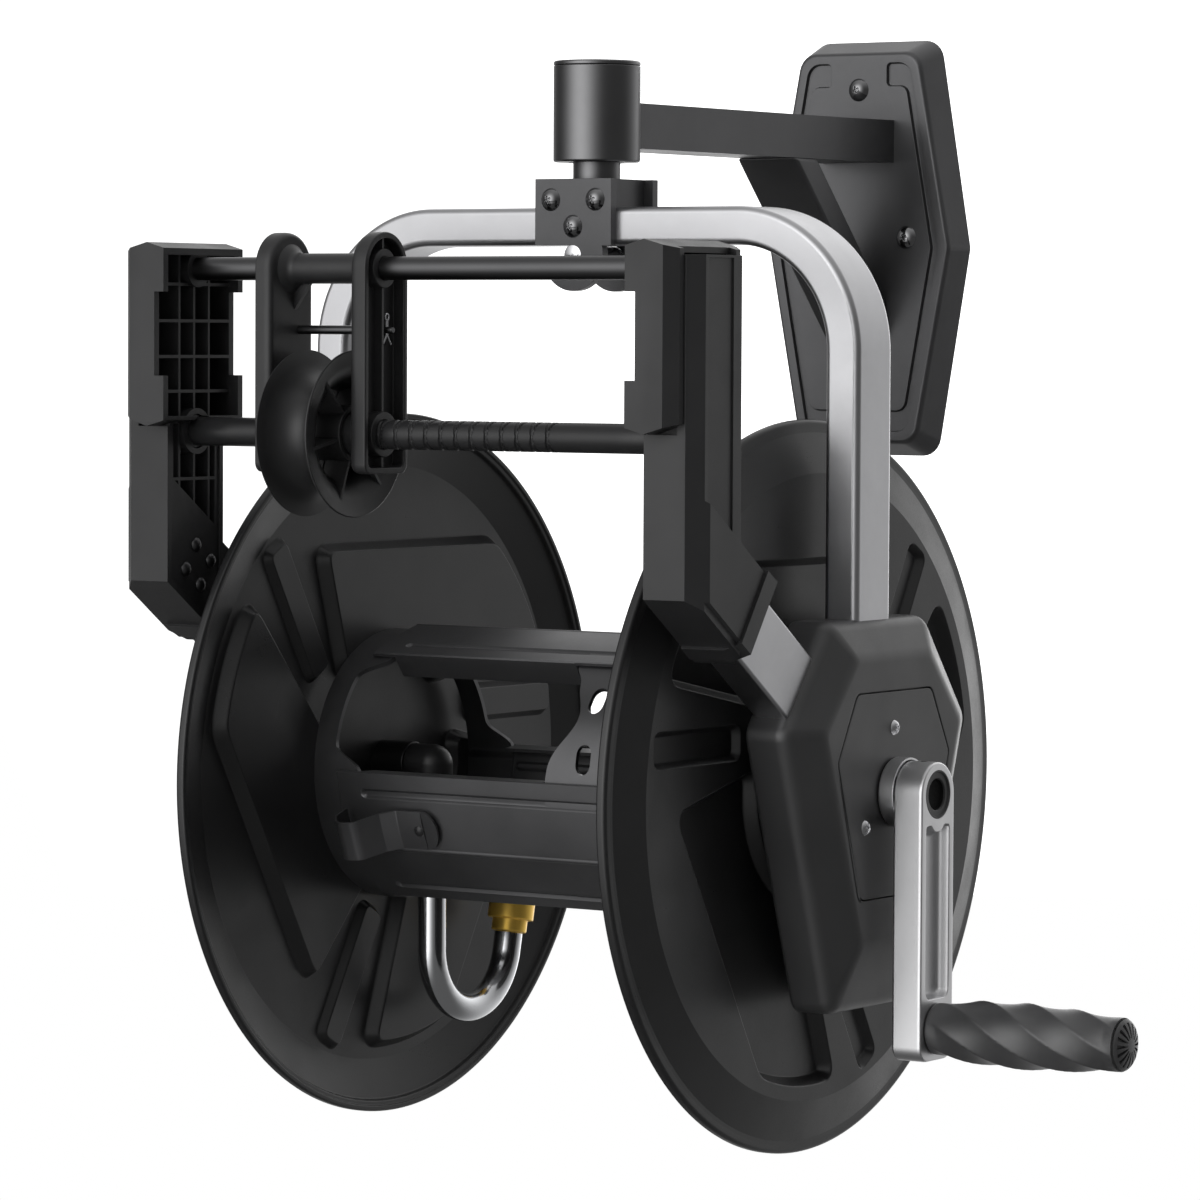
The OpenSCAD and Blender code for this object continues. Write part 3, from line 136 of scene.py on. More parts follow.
CRANK_ALLOY = material("bright_alloy", (0.8, 0.8, 0.81), 0.36, metal=1.0, vary=0.05,
                       bump=0.03, rough_vary=0.05)
CHROME = material("polished_chrome", (0.82, 0.83, 0.85), 0.16, metal=1.0, vary=0.04,
                  grain=400, bump=0.01, rough_vary=0.05)
BRASS = material("gilt_brass", (0.95, 0.6, 0.11), 0.3, metal=0.72, vary=0.1,
                 grain=500, bump=0.03, rough_vary=0.08)
DARK_STEEL = material("dark_steel", (0.012, 0.012, 0.0125), 0.36, vary=0.1,
                      grain=2400, bump=0.02, rough_vary=0.05)
SCREW_STEEL = material("dark_screw_steel", (0.3, 0.3, 0.306), 0.09, metal=1.0, vary=0.15,
                       bump=0.02, rough_vary=0.05)
BRIGHT_STEEL = material("bright_steel", (0.78, 0.78, 0.8), 0.17, metal=1.0, vary=0.08,
                        grain=600, bump=0.03, rough_vary=0.08)
BUSH = material("bearing_plastic", (0.03, 0.03, 0.031), 0.5, vary=0.1, grain=1500, bump=0.08)
BELT = material("belt_rubber", (0.012, 0.012, 0.012), 0.75, grain=800, bump=0.25)
GRIP = material("grip_plastic", (0.03, 0.03, 0.031), 0.4, grain=1800, bump=0.06, spec=1.0, wear=0.1)
# Painted shade: a near-black, nearly unreflecting surface that stands in for the shade deep in the crank plug's hole
SHADE_BLACK = material("painted_shade_black", (0.003, 0.003, 0.003), 0.7, spec=0.1)
SLOT_MAT = {"painted_black": PAINT, "moulded_black": MOULD, "alloy": ALLOY, "chrome_pipe": CHROME,
            "brass_fitting": BRASS, "dark_steel": DARK_STEEL, "bright_steel": BRIGHT_STEEL,
            "bush_plastic": BUSH, "belt_rubber": BELT, "grip_plastic": GRIP}


# Mesh helpers

def to_object(bm, node, mat, sharp, weld=1e-6, even=False, extra=None):
    """Turns a bmesh into a piece that rides with a CAD node's body and stands for that node, or, where extra names
    it, beside it. Points closer than weld are joined, and even takes the shading from the large faces."""
    if weld:
        bmesh.ops.remove_doubles(bm, verts=bm.verts, dist=weld)
        bmesh.ops.recalc_face_normals(bm, faces=bm.faces)
    name = extra or node + "_look"
    mesh = bpy.data.meshes.new(name)
    bm.to_mesh(mesh)
    bm.free()
    mesh.polygons.foreach_set("use_smooth", [True] * len(mesh.polygons))
    mesh.set_sharp_from_angle(angle=math.radians(sharp))
    ob = bpy.data.objects.new(name, mesh)
    bpy.context.scene.collection.objects.link(ob)
    mesh.materials.append(mat or SLOT_MAT[NODE_SLOT[node]])
    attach(ob, NODE_BODY[node])
    if not extra:
        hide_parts(node)
        DONE.add(node)
    if even:
        mod = ob.modifiers.new("face_normals", "WEIGHTED_NORMAL")
        mod.keep_sharp = True
        mod.weight = 80


BEVEL_FROM = math.radians(30)


def bevel(bm, width, segments):
    edges = [e for e in bm.edges if len(e.link_faces) == 2 and e.calc_face_angle(0) > BEVEL_FROM]
    if edges:
        bmesh.ops.bevel(bm, geom=edges, offset=width * MM, offset_type="OFFSET", segments=segments,
                        profile=0.5, affect="EDGES", clamp_overlap=True)


# A tower's outer face, in metres, and the panel in it, in millimetres
TOWER_FACE = 0.178
PANEL_SIDES, PANEL_TOP, PANEL_FOOT, PANEL_DEEP = (-169.0, -146.0), 271.0, 27.4, 0.9
GUIDE_TILT = math.radians(35)


def panel(bm):
    """Sinks a panel between two upright lips into a tower's outer face."""
    flat = [f for f in bm.faces
            if abs(f.normal.x) > 0.999 and abs(abs(f.calc_center_median().x) - TOWER_FACE) < 2e-4]
    face = max(flat, key=lambda f: f.calc_area())
    side = 1.0 if face.normal.x > 0 else -1.0
    foot = [(y, (PANEL_FOOT - y * math.sin(GUIDE_TILT)) / math.cos(GUIDE_TILT)) for y in PANEL_SIDES]
    hole = np.array(foot + [(y, PANEL_TOP) for y in PANEL_SIDES[::-1]]) * MM + DRUM[1:]
    rim = [v.co.copy() for v in face.verts]
    outer = np.array([(c.y, c.z) for c in rim])
    bm.faces.remove(face)
    v, f = filled(outer if signed(outer) > 0 else outer[::-1], [hole])
    x0, x1 = rim[0].x, rim[0].x - side * PANEL_DEEP * MM
    same = lambda p: p
    add_faces(bm, at_x(v, x0), f, same)
    add_faces(bm, np.vstack([at_x(hole, x) for x in (x0, x1)]), strips(2, 4) + [(4, 5, 6, 7)], same)
    simplify(bm)
    bmesh.ops.recalc_face_normals(bm, faces=bm.faces)


def simplify(bm):
    """Joins the triangles of flat faces."""
    bmesh.ops.remove_doubles(bm, verts=bm.verts, dist=2e-6)
    bmesh.ops.dissolve_limit(bm, angle_limit=math.radians(0.6), verts=bm.verts, edges=bm.edges)


def softened(node, width, segments, mat):
    """A copy of a CAD node with its edges rounded over."""
    bm = bmesh.new()
    bm.from_mesh(frame["nodes"][node].data)
    simplify(bm)
    if node.startswith("tower_outer"):
        panel(bm)
    bevel(bm, width, segments)
    to_object(bm, node, mat, sharp=50, weld=0, even=True)


# Outlines and surfaces

def smooth_loop(pts, sigma, step):
    """A closed outline, given anticlockwise, with its corners blended over about sigma millimetres."""
    q = np.vstack([pts, pts[:1]])
    s = np.concatenate([[0], np.cumsum(np.linalg.norm(np.diff(q, axis=0), axis=1))])
    n = max(16, int(round(s[-1] / step)))
    t = np.arange(n) * s[-1] / n
    p = np.interp(t, s, q[:, 0]) + 1j * np.interp(t, s, q[:, 1])
    k = np.fft.fftfreq(n) * n
    c = np.fft.ifft(np.fft.fft(p) * np.exp(-0.5 * (2 * np.pi * k * sigma / s[-1]) ** 2))
    return np.stack([c.real, c.imag], 1)


def signed(loop):
    x, y = loop[:, 0], loop[:, 1]
    return 0.5 * float((x * np.roll(y, -1) - np.roll(x, -1) * y).sum())


def inset(loop, d):
    t = np.roll(loop, -1, 0) - np.roll(loop, 1, 0)
    t /= np.linalg.norm(t, axis=1, keepdims=True)
    return loop + d * np.stack([-t[:, 1], t[:, 0]], 1)


def inside(pts, loop):
    x, y = pts[:, 0][:, None], pts[:, 1][:, None]
    a, b = loop, np.roll(loop, -1, 0)
    cross = (a[:, 1] > y) != (b[:, 1] > y)
    dy = np.where(b[:, 1] == a[:, 1], 1e-12, b[:, 1] - a[:, 1])
    at = (b[:, 0] - a[:, 0]) * (y - a[:, 1]) / dy + a[:, 0]
    return (cross & (x < at)).sum(1) % 2 == 1


def filled(outer, holes=(), more=()):
    """Triangles of the flat region inside an outline and outside its holes, through more points where given."""
    loops = [outer, *holes]
    edges, n = [], 0
    for lp in loops:
        edges += [(n + k, n + (k + 1) % len(lp)) for k in range(len(lp))]
        n += len(lp)
    pts = [Vector(p) for lp in [*loops, more] for p in lp]
    v, _, f, _, _, _ = delaunay_2d_cdt(pts, edges, [], 1, 1e-6)
    v = np.array([tuple(p) for p in v])
    f = np.array([t for t in f if len(t) == 3])
    mid = v[f].mean(1)
    keep = inside(mid, outer)
    for h in holes:
        keep &= ~inside(mid, h)
    return v, f[keep]


def add_faces(bm, pts, faces, to=row):
    vs = [bm.verts.new(p) for p in to(pts)]
    for f in faces:
        try:
            bm.faces.new([vs[k] for k in f])
        except ValueError:
            pass


def strips(n_rings, n, closed=True):
    """Quads between rings of n points each."""
    out = []
    for r in range(n_rings - 1):
        for k in range(n if closed else n - 1):
            a, b = r * n + k, r * n + (k + 1) % n
            out.append((a, b, b + n, a + n))
    return out


def capped(n_rings, n):
    """Strips with both ends closed."""
    return strips(n_rings, n) + [tuple(range(n))[::-1], tuple((n_rings - 1) * n + k for k in range(n))]


def slab(n):
    """The faces of a flat shape of n points, of its copy and of the edge between them."""
    return [tuple(range(n)), tuple(range(n, 2 * n))[::-1]] + strips(2, n)


def around(n):
    return np.arange(n) * 2 * np.pi / n


def round_path(pts, radius, steps=4, closed=False):
    """A broken line with its corners rounded; radius is one value or one for each point."""
    p = [np.asarray(q, float) for q in pts]
    n = len(p)
    rad = radius if hasattr(radius, "__len__") else [radius] * n
    out = []
    for i in range(n):
        if not closed and i in (0, n - 1) or rad[i] <= 0:
            out.append(p[i])
            continue
        a, b, c = p[i - 1], p[i], p[(i + 1) % n]
        u, v = (a - b) / np.linalg.norm(a - b), (c - b) / np.linalg.norm(c - b)
        half = math.acos(max(-1, min(1, float(u @ v)))) / 2
        if half > math.pi / 2 - 0.02:
            out.append(b)
            continue
        reach = min(rad[i] / math.tan(half), 0.48 * np.linalg.norm(a - b), 0.48 * np.linalg.norm(c - b))
        r = reach * math.tan(half)
        centre = b + (u + v) / np.linalg.norm(u + v) * r / math.sin(half)
        s, e = b + u * reach - centre, b + v * reach - centre
        turn = math.acos(max(-1, min(1, float(s @ e) / r / r)))
        for k in range(steps + 1):
            t = k / steps
            out.append(centre + (s * math.sin((1 - t) * turn) + e * math.sin(t * turn)) / math.sin(turn))
    return np.array(out)


def lathe(bm, prof, n=96, z=0.0, to=row, close=False):
    """Turns a line of (radius, x) about an axis along X."""
    a = around(n)
    pts = np.array([[x, r * c, z + r * s] for r, x in prof for c, s in zip(np.cos(a), np.sin(a))])
    rings = len(prof)
    faces = strips(rings, n)
    if close:
        faces += [((rings - 1) * n + k, (rings - 1) * n + (k + 1) % n, (k + 1) % n, k) for k in range(n)]
    add_faces(bm, pts, faces, to)


def sweep(bm, path, tangents, side, prof):
    """Carries a closed outline (across, side) along a path that lies in a plane square to side."""
    side = np.asarray(side, float)
    pts = []
    for p, t in zip(path, tangents):
        over = np.cross(side, t / np.linalg.norm(t))
        pts += [np.asarray(p, float) + over * a + side * b for a, b in prof]
    add_faces(bm, np.array(pts), capped(len(path), len(prof)))


def circle_pts(r, n=24):
    a = around(n)
    return np.stack([r * np.cos(a), r * np.sin(a)], 1)


def ease(t, a=0.2, b=0.8, k=22.0):
    """A ramp from 0 to 1 with rounded shoulders."""
    sp = lambda v: np.logaddexp(0, k * v) / k
    f = lambda v: (sp(v - a) - sp(v - b)) / (b - a)
    return (f(np.asarray(t, float)) - f(0.0)) / (f(1.0) - f(0.0))


# Shared forms

def loft(bm, rings, to=row):
    """Joins rings that have the same number of points."""
    add_faces(bm, np.vstack(rings), strips(len(rings), len(rings[0])), to)


def soft_rings(stations, cuts, steps=5):
    """Rings along a chain of outlines, with the fold at each inner one rounded over."""
    rings = [stations[0]]
    for i in range(1, len(stations) - 1):
        a, b, c = stations[i - 1:i + 2]
        la = np.maximum(np.linalg.norm(a - b, axis=1, keepdims=True), 1e-6)
        lc = np.maximum(np.linalg.norm(c - b, axis=1, keepdims=True), 1e-6)
        p = b + (a - b) * np.minimum(0.5, cuts[i - 1] / la)
        q = b + (c - b) * np.minimum(0.5, cuts[i - 1] / lc)
        n = steps if cuts[i - 1] > 0.4 else 2
        rings += [(1 - t) ** 2 * p + 2 * t * (1 - t) * b + t * t * q for t in np.linspace(0, 1, n + 1)]
    rings.append(stations[-1])
    return rings


def at_x(loop, x):
    return np.column_stack([np.full(len(loop), float(x)), loop])


def at_y(loop, y):
    return np.column_stack([loop[:, 0], np.full(len(loop), float(y)), loop[:, 1]])


def flat_x(bm, x, outer, holes=(), to=row):
    v, f = filled(outer, holes)
    add_faces(bm, at_x(v, x), f, to)


def flat_y(bm, y, outer, holes, to):
    v, f = filled(outer, holes)
    add_faces(bm, at_y(v, y), f, to)


def upright(p):
    """For a lathe whose axis stands along Z."""
    return row(np.asarray(p, float)[:, [1, 2, 0]])


def hexa(low, mid, top, low_z, mid_z, top_z):
    return [(-low, low_z), (low, low_z), (mid, mid_z), (top, top_z), (-top, top_z), (-mid, mid_z)]


def grid(bm, fn, us, vs):
    """A surface from a function of two values, closed in the second one."""
    add_faces(bm, np.array([fn(u, v) for u in us for v in vs]), strips(len(us), len(vs)))


def square_to(axis):
    """An axis as an array, and two directions square to it and to each other."""
    axis = np.asarray(axis, float)
    e1 = np.cross(axis, (0.0, 0.0, 1.0) if abs(axis[2]) < 0.9 else (1.0, 0.0, 0.0))
    e1 /= np.linalg.norm(e1)
    return axis, e1, np.cross(axis, e1)


def ramp(value, low, width):
    """0 up to low, 1 from low + width."""
    return np.clip((value - low) / width, 0, 1)


def head(bm, centre, axis, r, h, cross=0.16, reach=0.62, deep=0.28, spin=0.4, to=row):
    """A domed screw head with a cross recess: half its arms' width, their reach and depth as shares of the radius."""
    axis, e1, e2 = square_to(axis)
    rr = r * np.concatenate([np.linspace(0.02, 0.7, 18), np.linspace(0.75, 1.0, 8)])
    big = (r * r + h * h) / (2 * h)
    n = 72
    pts = []
    for q in rr:
        for a in around(n):
            u, v = abs(q * math.cos(a - spin)), abs(q * math.sin(a - spin))
            up = math.sqrt(max(0.0, big * big - q * q)) - big + h
            sink = ramp(-min(u, v), -cross * r, 0.07 * r) * ramp(-max(u, v), -reach * r, 0.1 * r)
            up = max(up - sink * deep * r, 0.02 * h)
            pts.append(np.asarray(centre, float) + e1 * q * math.cos(a) + e2 * q * math.sin(a) + axis * up)
    add_faces(bm, np.array(pts), strips(len(rr), n) + [tuple(range(n))[::-1]], to)


def shaft(bm, start, axis, prof, n=24):
    """A lathe along any axis: prof holds (radius, distance)."""
    axis, e1, e2 = square_to(axis)
    a = around(n)
    pts = np.array([np.asarray(start, float) + axis * d + r * (e1 * c + e2 * s)
                    for r, d in prof for c, s in zip(np.cos(a), np.sin(a))])
    add_faces(bm, pts, capped(len(prof), n))


def tube(bm, path, r):
    """A round wire along any path."""
    n = 10
    t = np.gradient(path, axis=0)
    t /= np.linalg.norm(t, axis=1, keepdims=True)
    u = np.cross(t[0], (1.0, 0.0, 0.0) if abs(t[0][0]) < 0.8 else (0.0, 1.0, 0.0))
    pts = []
    for p, d in zip(path, t):
        u = u - d * (u @ d)
        u /= np.linalg.norm(u)
        w = np.cross(d, u)
        pts += [p + r * (u * math.cos(a) + w * math.sin(a)) for a in around(n)]
    add_faces(bm, np.array(pts), capped(len(path), n))


# Discs

DISC_R, DISC_FLAT_R, DISC_BORE = 190.0, 161.0, 12.0
DISC_OUT, DISC_IN = 139.0, 137.4
POCKET_OUT_R, POCKET_IN_R, POCKET_TOP = 151.0, 62.0, 115.5
# Two sides of a pocket: the angle of the side's normal and the side's distance from the axis
POCKET_LEAD, POCKET_TRAIL = (196.5, 23.7), (-79.3, -36.5)
BAR = np.array([(77.0, 21.0), (153.0, 21.0), (153.0, 35.0), (77.0, 35.0)])


def direction(degrees):
    return np.array([math.cos(math.radians(degrees)), math.sin(math.radians(degrees))])


def half_line(angle, d, r):
    """Where the line at distance d along a direction meets the circle r: both points."""
    n = direction(angle)
    t = np.array([-n[1], n[0]])
    s = math.sqrt(r * r - d * d)
    return n * d + t * s, n * d - t * s


def arc_pts(r, a0, a1):
    return [r * direction(a) for a in np.linspace(a0, a1, 16)]


def angle_of(p):
    return math.degrees(math.atan2(p[1], p[0]))


def pocket_outline():
    lead = direction(POCKET_LEAD[0])
    a = np.array([(POCKET_LEAD[1] - POCKET_TOP * lead[1]) / lead[0], POCKET_TOP])
    b = np.array([math.sqrt(POCKET_OUT_R ** 2 - POCKET_TOP ** 2), POCKET_TOP])
    c = max(half_line(*POCKET_TRAIL, POCKET_OUT_R), key=lambda p: p[0])
    d = max(half_line(*POCKET_TRAIL, POCKET_IN_R), key=lambda p: p[0])
    e = max(half_line(*POCKET_LEAD, POCKET_IN_R), key=lambda p: p[1])
    far = arc_pts(POCKET_OUT_R, angle_of(c), angle_of(b))
    near = arc_pts(POCKET_IN_R, angle_of(e), angle_of(d))
    return np.array([d, *far, a, *near])


def turned(loop, degrees):
    c, s = direction(degrees)
    return loop @ np.array([[c, s], [-s, c]])


def pressed(bm, to, shapes, level):
    """One side of a disc's sheet with shapes pressed to another level through slanted walls. A shape is its outline,
    how far its mouth lies outside and its floor inside that outline, and the floor's level."""
    mouths = [inset(lp, -grow) for lp, grow, _, _ in shapes]
    flat_x(bm, level, circle_pts(DISC_FLAT_R, 240), [*mouths, circle_pts(DISC_BORE, 48)], to)
    t = np.array([0, 0.04, 0.08, 0.13, 0.19, 0.27, 0.73, 0.81, 0.87, 0.92, 0.96, 1])
    for lp, grow, shrink, deep in shapes:
        rings = [inset(lp, (grow + shrink) * k - grow) for k in t]
        levels = level + (deep - level) * ease(t, 0.12, 0.88, 34.0)
        loft(bm, [at_x(r, x) for x, r in zip(levels, rings)], to)
        flat_x(bm, deep, rings[-1], (), to)


def disc(node, side):
    bm = bmesh.new()
    to = placed((side, -side, 1))
    pocket = pocket_outline()
    outside, within = [], []
    for turn in (0, 120, 240):
        big = smooth_loop(turned(pocket, turn), 3.4, 1.4)
        bar = smooth_loop(turned(BAR, 120 + turn), 2.2, 1.2)
        outside += [(big, 4.4, 1.2, 132.0), (bar, 3.0, 1.0, 134.6)]
        within += [(big, 6.0, 0.0, 130.6), (bar, 4.4, 0.0, 133.2)]
    pressed(bm, to, outside, DISC_OUT)
    pressed(bm, to, within, DISC_IN)
    rim = [(DISC_FLAT_R, DISC_OUT), (162.4, DISC_OUT), (183.4, 133.1), (185.4, 133.0), (DISC_R, 133), (DISC_R, 127.3),
           (187.2, 127.3), (186.6, 128.4), (184.4, 128.6), (183.6, 131.4), (162.2, DISC_IN), (DISC_FLAT_R, DISC_IN)]
    lathe(bm, round_path(rim, [0, 1.6, 1.8, 0.8, 2.6, 2.4, 0.6, 0.5, 1.0, 1.2, 2.0, 0], 6), 240, to=to)
    lathe(bm, [(DISC_BORE, DISC_IN), (DISC_BORE, DISC_OUT)], 48, to=to)
    to_object(bm, node, DISC, sharp=30, weld=2e-5, even=True)


# Wall plate, screws and sleeve

WALL_Y, PLATE_Y, PLATE_Z = 291.0, 269.0, 283.0
GROOVE_WALL, GROOVE_DEEP = 1.1, 2.2


def plate():
    bm = bmesh.new()
    lift = placed(shift=(0, 0, PLATE_Z))
    outline = lambda end, mid, tall, r: round_path(hexa(end, mid, end, -tall, 0, tall), r, 6, True)
    back, edge_back = outline(42, 62, 118.5, 12), outline(38, 58, 114, 10)
    front, wide = outline(38.5, 59.5, 110.5, 11), outline(34.6, 55.4, 107.4, 10)
    stations = [at_y(edge_back, WALL_Y), at_y(back, WALL_Y), at_y(front, PLATE_Y), at_y(wide, PLATE_Y)]
    loft(bm, soft_rings(stations, [1.0, 3.2], 7), lift)
    groove = round_path([(18, 105.4), (18, 91.4), (30.8, 91.4), (47.6, 0), (30.8, -92), (-30.8, -92), (-47.6, 0),
                         (-30.8, 91.4), (-18, 91.4), (-18, 105.4), (-33.4, 105.4), (-52.8, 0),
                         (-33.4, -104.6), (33.4, -104.6), (52.8, 0), (33.4, 105.4)],
                        [3, 3, 5, 8, 6, 6, 8, 5, 3, 3, 9, 9, 9, 9, 9, 9], 6, True)
    groove = groove[::-1] if signed(groove) < 0 else groove
    flat_y(bm, PLATE_Y, wide, [groove], lift)
    loft(bm, [at_y(inset(groove, GROOVE_WALL * k), PLATE_Y + GROOVE_DEEP * float(ease(k)))
              for k in np.linspace(0, 1, 7)], lift)
    flat_y(bm, PLATE_Y + GROOVE_DEEP, inset(groove, GROOVE_WALL), (), lift)
    flat_y(bm, WALL_Y, edge_back, (), lift)
    to_object(bm, "wall_plate", PAINT, sharp=40, weld=1e-5, even=True)


def plate_screws():
    bm = bmesh.new()
    thread = [(3.1, PLATE_Y - WALL_Y), (3.1, 0.0)]
    for k in range(18):
        thread += [(2.25, 0.6 + 1.9 * k), (3.0, 1.4 + 1.9 * k)]
    thread += [(2.2, 35.2), (0.3, 40.0)]
    for x, z in ((0, 90), (32, 6), (-32, 6), (0, -90)):
        head(bm, (x, PLATE_Y, PLATE_Z + z), (0, -1, 0), 6.5, 3.9, cross=0.1, reach=0.34, deep=0.16)
        shaft(bm, (x, WALL_Y, PLATE_Z + z), (0, 1, 0), thread)
    to_object(bm, "wall_screws", SCREW_STEEL, sharp=40)


SLEEVE_R, SLEEVE_BORE, SLEEVE_LOW, SLEEVE_TOP = 23.0, 14.1, 324.0, 375.0
PIN_R, AXIS_R = 12.5, 0.05


def sleeve():
    tall = {"swivel_sleeve": [([(SLEEVE_BORE, SLEEVE_LOW), (SLEEVE_R, SLEEVE_LOW), (SLEEVE_R, 374.6),
                                (22.4, SLEEVE_TOP)], [0, 1.4, 0.6, 0], 5, 96),
                              ([(SLEEVE_BORE, SLEEVE_LOW), (SLEEVE_BORE, 366)], 0, 1, 96)],
            "swivel_cap": [([(AXIS_R, 378), (12, 377.9), (SLEEVE_R, 377.3), (SLEEVE_R, 375.2), (22.3, SLEEVE_TOP),
                             (AXIS_R, SLEEVE_TOP)], [0, 20, 1.6, 0.3, 0, 0], 6, 96)],
            "swivel_pin": [([(AXIS_R, 300), (10, 300), (PIN_R, 315), (PIN_R, 370), (AXIS_R, 370)],
                            [0, 0, 0, 1, 0], 4, 72)]}
    for node, lines in tall.items():
        bm = bmesh.new()
        for prof, radii, steps, n in lines:
            lathe(bm, round_path(prof, radii, steps), n, to=upright)
        to_object(bm, node, GLOSS, sharp=40, even=True)


CLAMP_Y, CROSS_PIN_Z = 22.5, 275.0


def clamp_fasteners():
    bm = bmesh.new()
    for x, z in ((-14, 304), (14, 304), (0, 290)):
        head(bm, (x, -CLAMP_Y, z), (0, -1, 0), 6.0, 3.6, cross=0.1, reach=0.34, deep=0.14)
        shaft(bm, (x, CLAMP_Y, z), (0, 1, 0), [(5.2, 0.0), (6.0, 0.5), (6.0, 3.0), (5.2, 3.6)], 6)
        shaft(bm, (x, CLAMP_Y, z), (0, 1, 0), [(2.7, 0.0), (2.7, 5.4), (2.2, 6.0)], 20)
    to_object(bm, "clamp_bolts", SCREW_STEEL, sharp=40)
    bm = bmesh.new()
    pin = [(4.9, 0.0), (5.5, 0.3), (5.6, 0.8), (5.6, 1.5), (4.8, 1.7), (4.8, 43.8), (4.6, 44.5), (3.9, 45.0)]
    shaft(bm, (0, -CLAMP_Y, CROSS_PIN_Z), (0, 1, 0), pin, 40)
    to_object(bm, "clamp_bolts", BRIGHT_STEEL, sharp=50, extra="clamp_cross_pin")


# Yoke

YOKE_X, YOKE_LOW, BEND_R, BEND_Z = 162.0, 40.0, 65.0, 225.0


def yoke_piece():
    bm = bmesh.new()
    leg = [(YOKE_X, 0.0, z) for z in np.linspace(YOKE_LOW, BEND_Z - 7, 8)]
    leg += [(YOKE_X - BEND_R + BEND_R * math.cos(a), 0.0, BEND_Z + BEND_R * math.sin(a))
            for a in np.radians(np.linspace(0, 90, 33))]
    path = [(-x, y, z) for x, y, z in leg] + leg[::-1]
    section = round_path([(-10, -17.5), (10, -17.5), (10, 17.5), (-10, 17.5)], 3.6, 6, True)
    sweep(bm, path, np.gradient(np.array(path), axis=0), (0, 1, 0), section)
    to_object(bm, "yoke", ALLOY, sharp=50, even=True)


# Housings

HOUSE_IN, HOUSE_EDGE, HOUSE_OUT, LID_SEAT, LID_IN = 150.0, 174.0, 185.0, 182.2, 182.4
# Half widths of a housing low, in its middle and on top, and the heights of these
HOUSE = (43.0, 90.5, 48.0, -112.0, 34.0, 88.5)
HOUSE_BEVEL, LID_SCREW_R = 22.0, 33.0


def housing_loop(d, r):
    low, mid, top, low_z, mid_z, top_z = HOUSE
    return round_path(hexa(low - d, mid - d, top - d, low_z + d, mid_z, top_z - d), r, 7, True)


def front_loop(d, r):
    """The outline of the flat front, inside the bevel."""
    low, mid, top, low_z, mid_z, top_z = HOUSE
    b = HOUSE_BEVEL + d
    return round_path(hexa(low - b / 2, mid - b, top - b / 2, low_z + b * 1.6, mid_z - d / 2, top_z - b * 0.85),
                      r, 7, True)


def lid_loop(d, r):
    return round_path(hexa(33.5 - d, 55.6 - d, 37 - d, d - 53.4, 18, 51.8 - d), r, 7, True)


def housing(node, cover_node, side):
    to = placed((side, 1, 1))
    bm = bmesh.new()
    back, outer, front = housing_loop(12, 6), housing_loop(0, 9), front_loop(7, 5)
    stations = [at_x(back, HOUSE_IN), at_x(outer, HOUSE_IN), at_x(outer, HOUSE_EDGE),
                at_x(front_loop(0, 6), HOUSE_OUT), at_x(front, HOUSE_OUT)]
    loft(bm, soft_rings(stations, [3.0, 6.5, 4.5], 7), to)
    rim, seat = lid_loop(-1.6, 6.6), lid_loop(-0.5, 6)
    flat_x(bm, HOUSE_OUT, front, [rim], to)
    loft(bm, soft_rings([at_x(rim, HOUSE_OUT), at_x(seat, HOUSE_OUT), at_x(seat, LID_SEAT)], [0.5], 3), to)
    flat_x(bm, HOUSE_IN, back, [circle_pts(15.0, 40)], to)
    flat_x(bm, LID_SEAT, seat, (), to)
    to_object(bm, node, SHELL, sharp=50, weld=1e-5, even=True)
    bm = bmesh.new()
    lid, face, hole = lid_loop(0.2, 5.6), lid_loop(2.4, 4), circle_pts(12.5, 48)
    loft(bm, soft_rings([at_x(lid, LID_IN), at_x(lid, HOUSE_OUT), at_x(face, HOUSE_OUT)], [0.5], 3), to)
    flat_x(bm, HOUSE_OUT, face, [hole], to)
    loft(bm, [at_x(hole, HOUSE_OUT), at_x(hole, LID_IN)], to)
    to_object(bm, cover_node, SHELL, sharp=50, weld=1e-5, even=True)


def lid_screws():
    bm = bmesh.new()
    for side in (1, -1):
        for a in (90, 210, 330):
            y, z = LID_SCREW_R * direction(a)
            head(bm, (HOUSE_OUT, y, z), (1, 0, 0), 4.0, 2.3, deep=0.3, spin=0.2 + a, to=placed((side, 1, 1)))
    to_object(bm, "cover_screws", BRIGHT_STEEL, sharp=40)


# Hub

HUB_R, RING_R, RING_T, RING_END = 76.0, 73.0, 2.6, 130.8
# A stave reaches HALF degrees to both sides of its crease, and all staves are turned by TURN degrees
HALF, TURN = 33.0, 2.0
LIP, LIP_T, LIP_START, LIP_END = 13.0, 2.2, -100.0, 16.3
BEAD_IN, BEAD_DEEP, BEAD_START = 9.0, 1.4, -96.5


